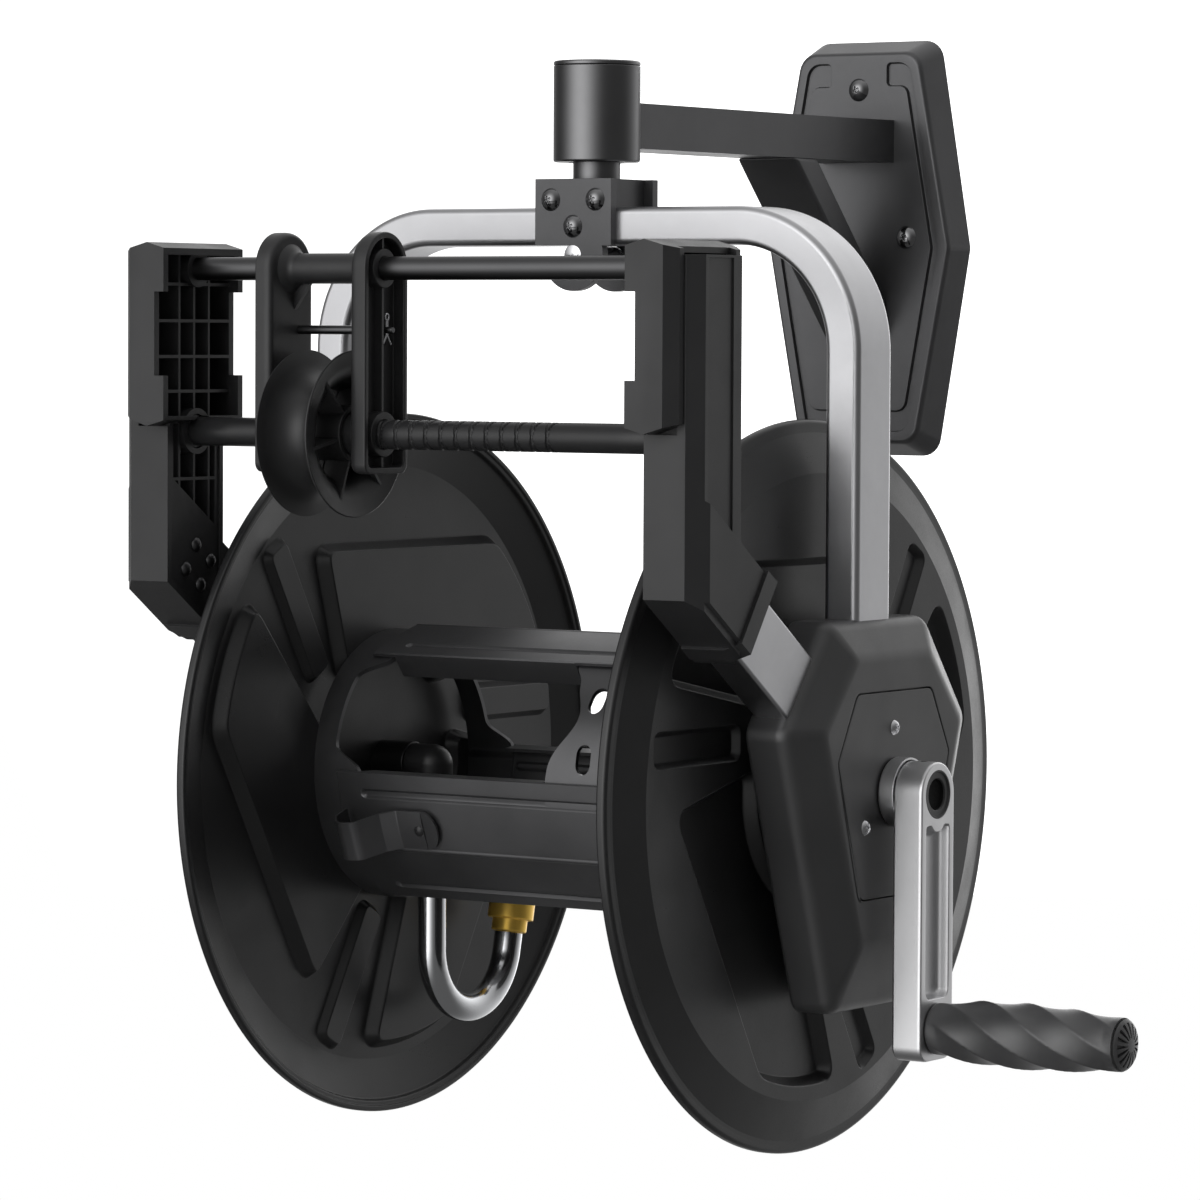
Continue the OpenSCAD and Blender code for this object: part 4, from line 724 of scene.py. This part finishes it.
def stave(node, mid):
    """A folded sheet: two nearly flat halves that meet in a crease, beads along its edges and inward lips."""
    bm = bmesh.new()
    ts = np.concatenate([np.linspace(-HALF, -1.3, 60), np.linspace(-1.1, 1.1, 9), np.linspace(1.3, HALF, 60)])
    xs = np.concatenate([[-114, -113.4, -110], np.linspace(-106, -92, 18),
                         [-90, -60, -30, 0, 16, 16.6, 40, 80, 118, 123.4, 124]])

    def radius(t, x):
        h = HALF / 2
        chord = HUB_R * math.cos(math.radians(h)) / math.cos(math.radians(min(HALF, math.hypot(t, 0.9)) - h))
        r = HUB_R - 0.75 * (HUB_R - chord)
        d = math.hypot(abs(abs(t) - (HALF - BEAD_IN)) * HUB_R * math.pi / 180, max(0.0, BEAD_START - x))
        return r - BEAD_DEEP * float(ramp(-d, -2.7, 1.3)) + 0.4 * max(0.0, 1 - (t / 1.1) ** 2)

    def at(r, t, x):
        return (x, *(r * direction(mid + t)))

    n_lip = 7
    m = len(ts)
    lip_w = math.degrees(LIP_T / HUB_R)
    loops = []
    for x in xs:
        lip = LIP if LIP_START <= x <= LIP_END else 0.0
        end = 0.5 if x in (xs[0], xs[-1]) else 0.0
        down = [HUB_R - LIP_T - lip * k / n_lip for k in range(1, n_lip + 1)]
        loop = [at(radius(t, x) - end, t, x) for t in ts]
        loop += [at(r - end, HALF, x) for r in down] + [at(r, HALF - lip_w, x) for r in down[::-1]]
        loop += [at(radius(t, x) - 2.4 + end, t, x) for t in ts[::-1][3:-3]]
        loop += [at(r, lip_w - HALF, x) for r in down] + [at(r - end, -HALF, x) for r in down[::-1]]
        loop = np.array(loop)
        soft = loop.copy()
        for i in (0, m - 1):
            soft[i] = 0.5 * loop[i] + 0.25 * (loop[i - 1] + loop[i + 1])
        loops.append(soft)
    loft(bm, loops)
    for lp in (loops[0], loops[-1]):
        inner = lp[m + 2 * n_lip:2 * m + 2 * n_lip - 6][::-1]
        add_faces(bm, np.vstack([lp[3:m - 3], inner]), strips(2, len(inner), False))
    to_object(bm, node, PAINT, sharp=26, even=True)


def wrapped(bm, outline, holes, r, t):
    """A sheet drawn flat and anticlockwise as (x, degrees), wrapped round the drum axis, with a thickness."""
    loops = [np.asarray(lp) * np.array([1.0, math.radians(r)]) for lp in (outline, *holes)]
    lo, hi, step = loops[0].min(0), loops[0].max(0), 4.0
    gx, gy = np.meshgrid(np.arange(lo[0] + step, hi[0], step), np.arange(lo[1] + step, hi[1], step))
    pts = np.stack([gx.ravel(), gy.ravel()], 1)
    keep = inside(pts, inset(loops[0], 1.2))
    for h in loops[1:]:
        keep &= ~inside(pts, inset(h, -1.2))
    v, f = filled(loops[0], loops[1:], pts[keep])

    def bent(p, rad):
        a = p[:, 1] / r
        return np.column_stack([p[:, 0], rad * np.cos(a), rad * np.sin(a)])

    add_faces(bm, bent(v, r), f)
    add_faces(bm, bent(v, r - t), f[:, ::-1])
    for lp in loops:
        loft(bm, [bent(lp, r), bent(lp, r - t)])


def hub_rings():
    gaps = [a + TURN for a in (30, 150, 270)]
    aside = lambda t: min(((t - g + 180) % 360 - 180 for g in gaps), key=abs)

    def bay(t):
        """0 behind a stave, 1 in the middle of a gap."""
        return float(ease(ramp(-abs(aside(t)), -29.0, 14.0), 0.25, 0.75, 14.0))

    def wave(t):
        return bay(t) * (10.0 + 5.0 * math.cos(math.radians(9.0 * aside(t))) - 0.16 * aside(t))

    ts = np.arange(0, 361, 1.5)
    window = round_path([(36.5, -2.2), (45.5, -2.2), (45.5, 10.2), (36.5, 10.2)], 4.2, 6, True)
    holes = [window + np.array([0, g + 13 * k]) for g in gaps for k in (-1, 1)]
    for node, end, edge, order, cuts in (
            ("hub_ring_left", -RING_END, lambda t: -101 - 16.5 * bay(t), ts[::-1], []),
            ("hub_ring_right", RING_END, lambda t: 18 + wave(t), ts, holes)):
        bm = bmesh.new()
        outline = [(end, t) for t in order] + [(edge(t), t) for t in order[::-1]]
        wrapped(bm, outline, cuts, RING_R, RING_T)
        to_object(bm, node, PAINT, sharp=35, weld=2e-5)


# Level wind

SCREW_Y, SCREW_Z = -155.0, 182.0
SCREW_R, JOURNAL_R, SCREW_HALF = 7.5, 5.5, 146.5
THREAD_HALF, THREAD_PITCH = 84.0, 9.3


def reversing_screw():
    bm = bmesh.new()
    ends = np.array([120.0, SCREW_HALF - 0.8, SCREW_HALF])
    xs = np.concatenate([-ends[::-1], [-90], np.arange(-THREAD_HALF, THREAD_HALF + 0.5, 0.4), [90], ends])

    def fn(x, a):
        r = SCREW_R if abs(x) < 146 else SCREW_R - 0.6
        if abs(x) <= THREAD_HALF + 0.2:
            cut = 0.0
            for hand in (1, -1):
                w = (a - hand * 2 * math.pi * x / THREAD_PITCH + math.pi) % (2 * math.pi) - math.pi
                d = abs(w) / (2 * math.pi) * THREAD_PITCH * 0.93
                cut = max(cut, float(ramp(-d, -0.75, 0.35)))
            r -= 0.8 * cut * float(ramp(-abs(x), -THREAD_HALF, 1.5))
        return (x, SCREW_Y + r * math.cos(a), SCREW_Z + r * math.sin(a))

    grid(bm, fn, xs, around(84))
    for x, prof in ((-157, [(5.0, 0), (JOURNAL_R, 0.6), (JOURNAL_R, 10.6)]),
                    (146.4, [(JOURNAL_R, 0), (JOURNAL_R, 25.0), (5.0, 25.6)])):
        shaft(bm, (x, SCREW_Y, SCREW_Z), (1, 0, 0), prof, 40)
    to_object(bm, "level_screw", DARK_STEEL, sharp=38)


CARRIAGE = np.array([-59.5, SCREW_Y, SCREW_Z])
ROLLER_RIM, ROLLER_DISH, ROLLER_HALF, ROLLER_WALL = 42.75, 17.75, 15.2, 2.4
carried = placed(shift=CARRIAGE)


def roller():
    bm = bmesh.new()
    skin = [(ROLLER_RIM - ROLLER_DISH * math.sqrt(max(0.0, 1 - u * u)), ROLLER_HALF * u)
            for u in np.linspace(-1, 1, 49)]
    left = [(40.9, -15.8), (41.8, -16.0), (42.6, -15.7)]
    right = [(42.7, 15.7), (42.2, 16.0), (41.5, 15.8)]
    under = [(max(r - ROLLER_WALL, 22.0), x) for r, x in skin[::-1]]
    lathe(bm, left + skin + right + under, 120, to=carried, close=True)
    bush = round_path([(11.56, -16), (14.6, -16), (14.6, 16), (11.56, 16)], 0.6, 3, True)
    lathe(bm, bush, 64, to=carried, close=True)
    rib = [(13.6, 15.4), (24.0, 14.8)] + [(r - 1.6, x) for r, x in skin[-2:24:-2]] + [(13.6, 0.6)]
    for a in np.arange(0, 360, 60) + 12:
        e, t = direction(a), np.array([0, *direction(a + 90)])
        for s in (-1, 1):
            pts = np.array([(s * x, *(r * e)) for r, x in rib])
            add_faces(bm, np.vstack([pts + 0.8 * t, pts - 0.8 * t]), slab(len(rib)), carried)
    to_object(bm, "guide_roller", MOULD, sharp=34)


# The links, from the carriage's middle: inner and outer face, floor of the tray, and places of rod and pin
LINK_IN, LINK_OUT, LINK_FLOOR, BOSS_OUT = 25.0, 35.0, 28.2, 34.0
LINK_R, LINK_LOW, ROD_RISE = 18.5, -20.0, 84.3
GUIDE_PIN_Y, GUIDE_PIN_RISE = 7.0, 53.0


def strap_loop(r, top_z, low_z, corner, join, sides, n):
    """An upright outline with a round top and rounded lower corners; sides are points along its straight sides."""
    top = [(r * math.cos(t), top_z + r * math.sin(t)) for t in np.radians(np.linspace(0, 180, n))]
    low = round_path([(-r, join), (-r, low_z), (r, low_z), (r, join)], [0, corner, corner, 0], n // 4)
    return np.array(top + [(-r, z) for z in sides] + [tuple(p) for p in low] + [(r, z) for z in sides[::-1]])


def link_loop(d):
    return strap_loop(LINK_R - d, ROD_RISE, LINK_LOW + d, max(1.0, 5.0 - d * 0.6), 40, np.linspace(80, 44, 6), 25)


def link(node, side):
    """A tray with a softly rounded closed face and an open ribbed one."""
    bm = bmesh.new()
    at = placed((side, 1, 1), CARRIAGE)
    rod_at = np.array([0, ROD_RISE])
    rod, screw = circle_pts(6.06, 40) + rod_at, circle_pts(7.56, 40)
    pin = circle_pts(1.8, 16) + np.array([GUIDE_PIN_Y, GUIDE_PIN_RISE])
    stations = [at_x(link_loop(d), x) for d, x in ((6.0, LINK_IN), (0.0, LINK_IN), (0.0, LINK_OUT), (3.2, LINK_OUT),
                                                   (3.6, LINK_FLOOR), (5.0, LINK_FLOOR))]
    loft(bm, soft_rings(stations, [4.6, 0.9, 0.9, 0.6], 6), at)
    flat_x(bm, LINK_IN, link_loop(6.0), [rod, screw, pin], at)
    flat_x(bm, LINK_FLOOR, link_loop(5.0), [rod, screw, pin], at)
    for hole, r, mid in ((rod, 10.0, rod_at), (screw, 11.5, 0.0)):
        foot, boss = circle_pts(r + 0.4, 40) + mid, circle_pts(r, 40) + mid
        loft(bm, soft_rings([at_x(foot, 28.0), at_x(boss, BOSS_OUT), at_x(hole, BOSS_OUT), at_x(hole, LINK_IN)],
                            [0.6, 0.5], 3), at)
    loft(bm, [at_x(pin, LINK_IN), at_x(pin, LINK_FLOOR)], at)
    rib = [(28.0, -1.1), (32.6, -0.8), (32.6, 0.8), (28.0, 1.1)]
    for span in ((-18, -11), (11, 74.6), (94, 101.5)):
        add_faces(bm, np.array([(x, y, z) for z in span for x, y in rib]), capped(2, 4), at)
    to_object(bm, node, MOULD, sharp=40, weld=1e-5, even=True)


def sleeve_and_pin():
    bm = bmesh.new()
    at = placed(shift=CARRIAGE + np.array([0, 0, ROD_RISE]))
    prof = [(12.5, -LINK_IN), (7.9, -21), (7.8, -15), (7.8, 15), (7.9, 21), (12.5, LINK_IN)]
    lathe(bm, round_path(prof, [0, 5, 0, 0, 5, 0], 6), 64, to=at)
    lathe(bm, [(12.5, LINK_IN), (6.1, LINK_IN), (6.1, -LINK_IN), (12.5, -LINK_IN)], 64, to=at)
    for s in (-1, 1):
        web = np.array([(LINK_IN * s, 2.0, -6.0), (LINK_IN * s, 2.0, -21.0), (14.0 * s, 2.0, -6.0)])
        both = np.vstack([web, web + np.array([0, 2.4, 0])])
        add_faces(bm, both, slab(3), at)
    to_object(bm, "guide_sleeve", MOULD, sharp=40, even=True)
    bm = bmesh.new()
    centre = CARRIAGE + np.array([0, GUIDE_PIN_Y, GUIDE_PIN_RISE])
    pin = [(1.5, 0), (1.8, 0.4), (1.8, 3.3), (2.3, 3.5), (2.3, 53.3), (1.8, 53.5), (1.8, 62.0), (1.3, 62.6)]
    shaft(bm, centre + np.array([-28.4, 0, 0]), (1, 0, 0), pin)
    collar = [(2.4, 0), (2.7, 0.2), (2.7, 0.5), (2.4, 0.7)]
    shaft(bm, centre + np.array([28.6, 0, 0]), (1, 0, 0), collar, 28)
    to_object(bm, "guide_pin", ROD, sharp=40)
    bm = bmesh.new()
    wires = [round_path([(30.0, 0.5 * k, 5.6), (30.0, 0.5 * k, -3.0), (30.0 + 0.5 * k, 3.0 * k, -7.4)], 2.0, 5)
             for k in (-1, 1)]
    wires.append([(30.0, 1.5 * math.cos(a), 6.6 + 1.7 * math.sin(a)) for a in np.linspace(-1.2, 4.34, 18)])
    for wire in wires:
        tube(bm, centre + np.array(wire), 0.55)
    to_object(bm, "guide_pin", BRIGHT_STEEL, sharp=60, extra="guide_pin_cotter")


# Crank and grip

CRANK_IN, CRANK_OUT, SLOT_FLOOR, PLUG_SEAT = 194.0, 211.0, 205.0, 207.9
CRANK_R, CRANK_END = 16.5, -136.4


def crank_loop(d):
    return strap_loop(CRANK_R - d, 0.0, CRANK_END + d, max(1.5, 8 - d), -90, np.linspace(-6, -84, 12), 31)


def crank():
    bm = bmesh.new()
    back, outer, face = crank_loop(4), crank_loop(0), crank_loop(2.0)
    stations = [at_x(back, CRANK_IN), at_x(outer, CRANK_IN), at_x(outer, CRANK_OUT), at_x(face, CRANK_OUT)]
    loft(bm, soft_rings(stations, [1.6, 2.0], 6))
    hole = circle_pts(12.5, 56)
    slot = round_path([(-12.0, -105), (12.0, -105), (12.0, -15.5), (6.5, -15.0), (3.2, -18.6), (-3.2, -18.6),
                       (-6.5, -15.0), (-12.0, -15.5)], [5, 5, 2.2, 2.5, 5, 5, 2.5, 2.2], 6, True)
    flat_x(bm, CRANK_OUT, face, [hole, slot])
    wall = [(0.0, 6.0), (0.4, 5.9), (0.8, 5.5), (1.3, 4.2), (1.8, 2.6), (2.3, 1.5), (3.0, 0.6), (4.0, 0.1),
            (5.2, 0.0)]
    rings = [at_x(inset(slot, d * 0.72), SLOT_FLOOR + up) for d, up in wall]
    loft(bm, rings)
    flat_x(bm, SLOT_FLOOR, rings[-1][:, 1:])
    loft(bm, [at_x(hole, CRANK_OUT), at_x(hole, PLUG_SEAT)])
    flat_x(bm, CRANK_IN, back, [circle_pts(17.0, 56)])
    boss = [(8, 185.5), (18, 185.5), (18, 192.6), (18.0, 194.2), (17.0, 194.2)]
    lathe(bm, round_path(boss, [0, 1.3, 0, 0, 0], 5), 80)
    to_object(bm, "crank_arm", CRANK_ALLOY, sharp=40, weld=1e-5, even=True)
    bm = bmesh.new()
    plug = [(12.4, 208), (12.4, 211), (11.6, 211.0), (11.2, 210.2), (8.6, 210.2), (8.0, 209.8), (8.0, 208.1)]
    lathe(bm, round_path(plug, [0, 0.3, 0.3, 0.3, 0.5, 0.4, 0], 3), 64)
    to_object(bm, "crank_plug", MOULD, sharp=40)
    # The floor of the plug's hole is coloured near black as painted shade, so that the hole reads deep
    bm = bmesh.new()
    lathe(bm, round_path([(8.0, 209.2), (7.6, 209.1), (7.2, 208.2), (AXIS_R, 208.1)], [0, 0.2, 0.4, 0], 3), 64)
    to_object(bm, "crank_plug", SHADE_BLACK, sharp=40, extra="crank_plug_hole_painted_shade")


GRIP_X, GRIP_L, GRIP_Z = 211.5, 107.0, -120.0


def grip():
    """A barrel with six facets that twist along it, and a slotted cap with a button."""
    bm = bmesh.new()
    end, angles = GRIP_X + GRIP_L, around(132)

    def barrel(x, a):
        u = (x - GRIP_X) / GRIP_L
        big = 13.0 + 4.0 * math.sin(math.pi * min(1.0, max(0.0, u * 0.94) ** 0.8))
        w = (a - math.radians(60.0 * (x - GRIP_X) / 28.0) + math.pi / 6) % (math.pi / 3) - math.pi / 6
        flat = math.cos(math.pi / 6) / math.cos(w)
        r = big * (1 - 0.62 * float(ramp(u, 0, 0.06) * ramp(1 - u, 0, 0.05)) * (1 - flat))
        return (x, r * math.cos(a), GRIP_Z + r * math.sin(a))

    grid(bm, barrel, np.concatenate([[GRIP_X], np.linspace(GRIP_X + 0.5, end - 0.4, 110), [end]]), angles)
    for x, inner_x, r in ((GRIP_X, GRIP_X, 5.1), (end, end - 0.8, 8.0)):
        rim = [barrel(x, a) for a in angles]
        inner = [(inner_x, r * math.cos(a), GRIP_Z + r * math.sin(a)) for a in angles]
        add_faces(bm, np.array(rim + inner), strips(2, len(angles)))
    to_object(bm, "crank_grip", GRIP, sharp=24)
    bm = bmesh.new()

    def cap(q, a):
        up = 5.0 * math.sqrt(max(0.0, 1 - (q / 13.4) ** 2))
        slot = float(ramp(math.cos(16 * a), 0.15, 0.35) * ramp(q, 3.6, 0.6) * ramp(-q, -11.4, 0.5))
        return (end + max(0.0, up - 1.7 * slot), q * math.cos(a), GRIP_Z + q * math.sin(a))

    radii = [np.linspace(AXIS_R, 4.4, 10), np.linspace(4.8, 11.0, 10), np.linspace(11.2, 13.0, 8)]
    grid(bm, cap, np.concatenate(radii), around(192))
    to_object(bm, "grip_cap", GRIP, sharp=30)
    bm = bmesh.new()
    button = [(AXIS_R, 4.98), (1.5, 4.9), (2.6, 4.7), (3.2, 4.2)]
    lathe(bm, [(r, end + up) for r, up in button], 40, z=GRIP_Z)
    to_object(bm, "grip_cap", CHROME, sharp=60, extra="grip_cap_button")


# Hose clip

CLIP_ANGLE, CLIP_HALF, CLIP_SEAT, CLIP_END, TAB_R = 202.0, 11.0, 76.4, -60.0, 77.2


def clip():
    bm = bmesh.new()
    w = CLIP_HALF
    line = round_path([(CLIP_END, CLIP_SEAT), (-76, CLIP_SEAT), (-84, 81.0), (-93, 92.5), (-103, 93.5), (-108, 86),
                       (-107, 78)], [0, 3, 3, 6, 6, 6, 0], 8)
    d = np.gradient(line, axis=0)
    d /= np.linalg.norm(d, axis=1, keepdims=True)
    normals = np.column_stack([-d[:, 1], d[:, 0]])
    normals *= np.sign(normals[0, 1])
    c, s = direction(CLIP_ANGLE)
    sag = lambda a: math.sqrt(CLIP_SEAT ** 2 - a * a) - CLIP_SEAT

    def at(p):
        """Along the hub, out from it and across the strap."""
        p = np.asarray(p, float)
        return row(np.column_stack([p[:, 0], p[:, 1] * c - p[:, 2] * s, p[:, 1] * s + p[:, 2] * c]))

    across = np.concatenate([[-w, 0.4 - w], np.linspace(1.5 - w, w - 1.5, 7), [w - 0.4, w]])
    rings = []
    for (x, h), (nx, nh) in zip(line, normals):
        near = float(ramp(-h, -82, 4))
        top = [(x + nx * 0.9, h + nh * 0.9 + near * sag(a), a) for a in across]
        low = [(x - nx * 0.4, h - nh * 0.4 + near * sag(a), a) for a in across[::-1]]
        rings.append(np.array(top + low))
    loft(bm, rings, at)
    for lp in (rings[0], rings[-1]):
        add_faces(bm, lp, [tuple(range(len(lp)))], at)
    tab = [(CLIP_END + 9.0 * math.cos(t), TAB_R + sag(w * math.sin(t)), w * math.sin(t))
           for t in np.radians(np.linspace(-90, 90, 21))]
    low = [(x, h - 1.3, z) for x, h, z in tab]
    add_faces(bm, np.array(tab + low), slab(len(tab)), at)
    to_object(bm, "hose_clip", PAINT, sharp=40, even=True)
    bm = bmesh.new()
    e = np.array([0, c, s])
    head(bm, np.array([-63.0, 0, 0]) + e * TAB_R, e, 3.0, 1.3, cross=0.0, reach=0.0)
    to_object(bm, "hose_clip", DARK_STEEL, sharp=40, extra="hose_clip_rivet")


disc("disc_left", -1)
disc("disc_right", 1)
plate()
plate_screws()
sleeve()
clamp_fasteners()
yoke_piece()
housing("housing_right", "cover_right", 1)
housing("housing_left", "cover_left", -1)
lid_screws()
stave("stave_top", 90 + TURN)
stave("stave_front", 210 + TURN)
stave("stave_rear", 330 + TURN)
hub_rings()
reversing_screw()
roller()
link("link_left", -1)
link("link_right", 1)
sleeve_and_pin()
crank()
grip()
clip()

# All other nodes

EDGE = {"swing_arm": 2.4, "arm_brace": 2.2, "clamp_front": 1.6, "clamp_rear": 1.6, "clamp_block": 1.2,
        "guide_arm_right": 1.8, "guide_arm_left": 1.8, "tower_outer_right": 1.3, "tower_outer_left": 1.3,
        "tower_inner_right": 0.9, "tower_inner_left": 0.9}
OTHER_MAT = {"guide_rod": ROD, "tower_screws": ROD, "water_axle": DARK_STEEL, "swing_arm": PAINT,
             "arm_brace": PAINT}
for node in frame["nodes"]:
    if node not in DONE:
        softened(node, EDGE.get(node, 0.8), 3 if node in EDGE else 2, OTHER_MAT.get(node))

# Stage

FLOOR_Z, FLOOR_R = -1.0, 6.0
FLOOR_SEEN_R, FLOOR_WHITE_R = 1.0, 2.2


def seen(tree):
    """1 for the rays that find the background: those of the camera, of reflections and of what is looked through."""
    path = shader(tree, "LightPath").outputs
    two = reckon(tree, "ADD", path["Is Camera Ray"], path["Is Glossy Ray"])
    return reckon(tree, "ADD", two, path["Is Transmission Ray"], use_clamp=True)


floor_mesh = bpy.data.meshes.new("floor")
bm = bmesh.new()
bmesh.ops.create_circle(bm, cap_ends=True, segments=96, radius=FLOOR_R)
bm.to_mesh(floor_mesh)
bm.free()
floor = bpy.data.objects.new("floor", floor_mesh)
floor.location = (0, 0, FLOOR_Z)
bpy.context.scene.collection.objects.link(floor)
floor_mat = bpy.data.materials.new("pale_floor")
floor_mat.use_nodes = True
ft = floor_mat.node_tree
floor_bsdf = ft.nodes["Principled BSDF"]
floor_bsdf.inputs["Roughness"].default_value = 0.9
floor_bsdf.inputs["Base Color"].default_value = (0.86, 0.86, 0.86, 1)
far = shader(ft, "VectorMath", shader(ft, "TexCoord").outputs["Object"], operation="LENGTH")
fade = shader(ft, "MapRange", Value=far.outputs["Value"], From_Min=FLOOR_SEEN_R, From_Max=FLOOR_WHITE_R)
white = reckon(ft, "MULTIPLY", fade.outputs["Result"], seen(ft))
floor_mix = shader(ft, "MixShader", white, floor_bsdf.outputs[0], shader(ft, "Emission").outputs[0])
ft.links.new(floor_mix.outputs[0], ft.nodes["Material Output"].inputs[0])
floor_mesh.materials.append(floor_mat)
floor.visible_glossy = False

world = bpy.data.worlds.new("studio")
bpy.context.scene.world = world
world.use_nodes = True
wt = world.node_tree
wt.nodes.clear()
way = shader(wt, "TexCoord").outputs["Generated"]
REFLECTED_BASE, DIFFUSE_LEVEL = 0.1, 0.45
# What a reflection finds: direction, narrowness and level of each soft box
SOFT_BOXES = [((-0.2, -0.97, 0.14), 6.0, 2.1), ((-0.17, 0.97, 0.17), 3.0, 1.05),
              ((-0.33, 0.94, 0.05), 24.0, 1.8), ((0.0, 0.0, 1.0), 2.0, 0.4)]
level = REFLECTED_BASE
for axis, power, bright in SOFT_BOXES:
    facing = shader(wt, "VectorMath", way, axis, operation="DOT_PRODUCT").outputs["Value"]
    lobe = reckon(wt, "POWER", reckon(wt, "MAXIMUM", facing, 0.0), power)
    level = reckon(wt, "ADD", level, reckon(wt, "MULTIPLY", lobe, bright))
level = reckon(wt, "MAXIMUM", level, shader(wt, "LightPath").outputs["Is Camera Ray"])
shown = shader(wt, "Background", level)
light = shader(wt, "Background", (0.9, 0.9, 0.9, 1), DIFFUSE_LEVEL)
world_mix = shader(wt, "MixShader", seen(wt), light.outputs[0], shown.outputs[0])
shader(wt, "OutputWorld", world_mix.outputs[0])


def area(name, at, look, size, power):
    data = bpy.data.lights.new(name, "AREA")
    data.shape = "RECTANGLE"
    data.size, data.size_y = size
    data.energy = power
    ob = bpy.data.objects.new(name, data)
    ob.location = at
    ob.rotation_mode = "QUATERNION"
    ob.rotation_quaternion = (Vector(look) - Vector(at)).to_track_quat("-Z", "Y")
    ob.visible_camera = ob.visible_glossy = False
    bpy.context.scene.collection.objects.link(ob)


CENTRE = (0.0, -0.25, -0.2)
area("key_left", (-0.5, -2.75, 0.6), CENTRE, (0.9, 1.6), 46)
area("fill_right", (2.2, 1.2, 0.8), CENTRE, (1.0, 1.6), 18)
area("top", (0.2, -0.2, 2.0), CENTRE, (1.4, 1.0), 26)
area("back", (-0.5, 2.6, 0.5), CENTRE, (1.4, 1.6), 30)

# Camera, fitted to the photo

CAMERA_TURN = (33.58886, 2.86277, 0.28440)
CAMERA_AT = (1.572338, -2.653416, -0.048550)
CAMERA_LENS, SENSOR_WIDTH = 160.64, 36.0
yaw, pitch, roll = (math.radians(a) for a in CAMERA_TURN)
right0 = Vector((math.cos(yaw), math.sin(yaw), 0))
fwd0 = Vector((-math.sin(yaw), math.cos(yaw), 0))
up0 = Vector((0, 0, 1))
look = math.cos(pitch) * fwd0 - math.sin(pitch) * up0
up1 = math.sin(pitch) * fwd0 + math.cos(pitch) * up0
right = math.cos(roll) * right0 + math.sin(roll) * up1
up = -math.sin(roll) * right0 + math.cos(roll) * up1
cam_data = bpy.data.cameras.new("camera")
cam_data.sensor_width = SENSOR_WIDTH
cam_data.lens = CAMERA_LENS
cam = bpy.data.objects.new("camera", cam_data)
columns = (right, up, -look, CAMERA_AT)
cam.matrix_world = Matrix([[c[k] for c in columns] for k in range(3)] + [[0, 0, 0, 1]])
bpy.context.scene.collection.objects.link(cam)
bpy.context.scene.camera = cam
bpy.context.scene.view_settings.view_transform = "Standard"
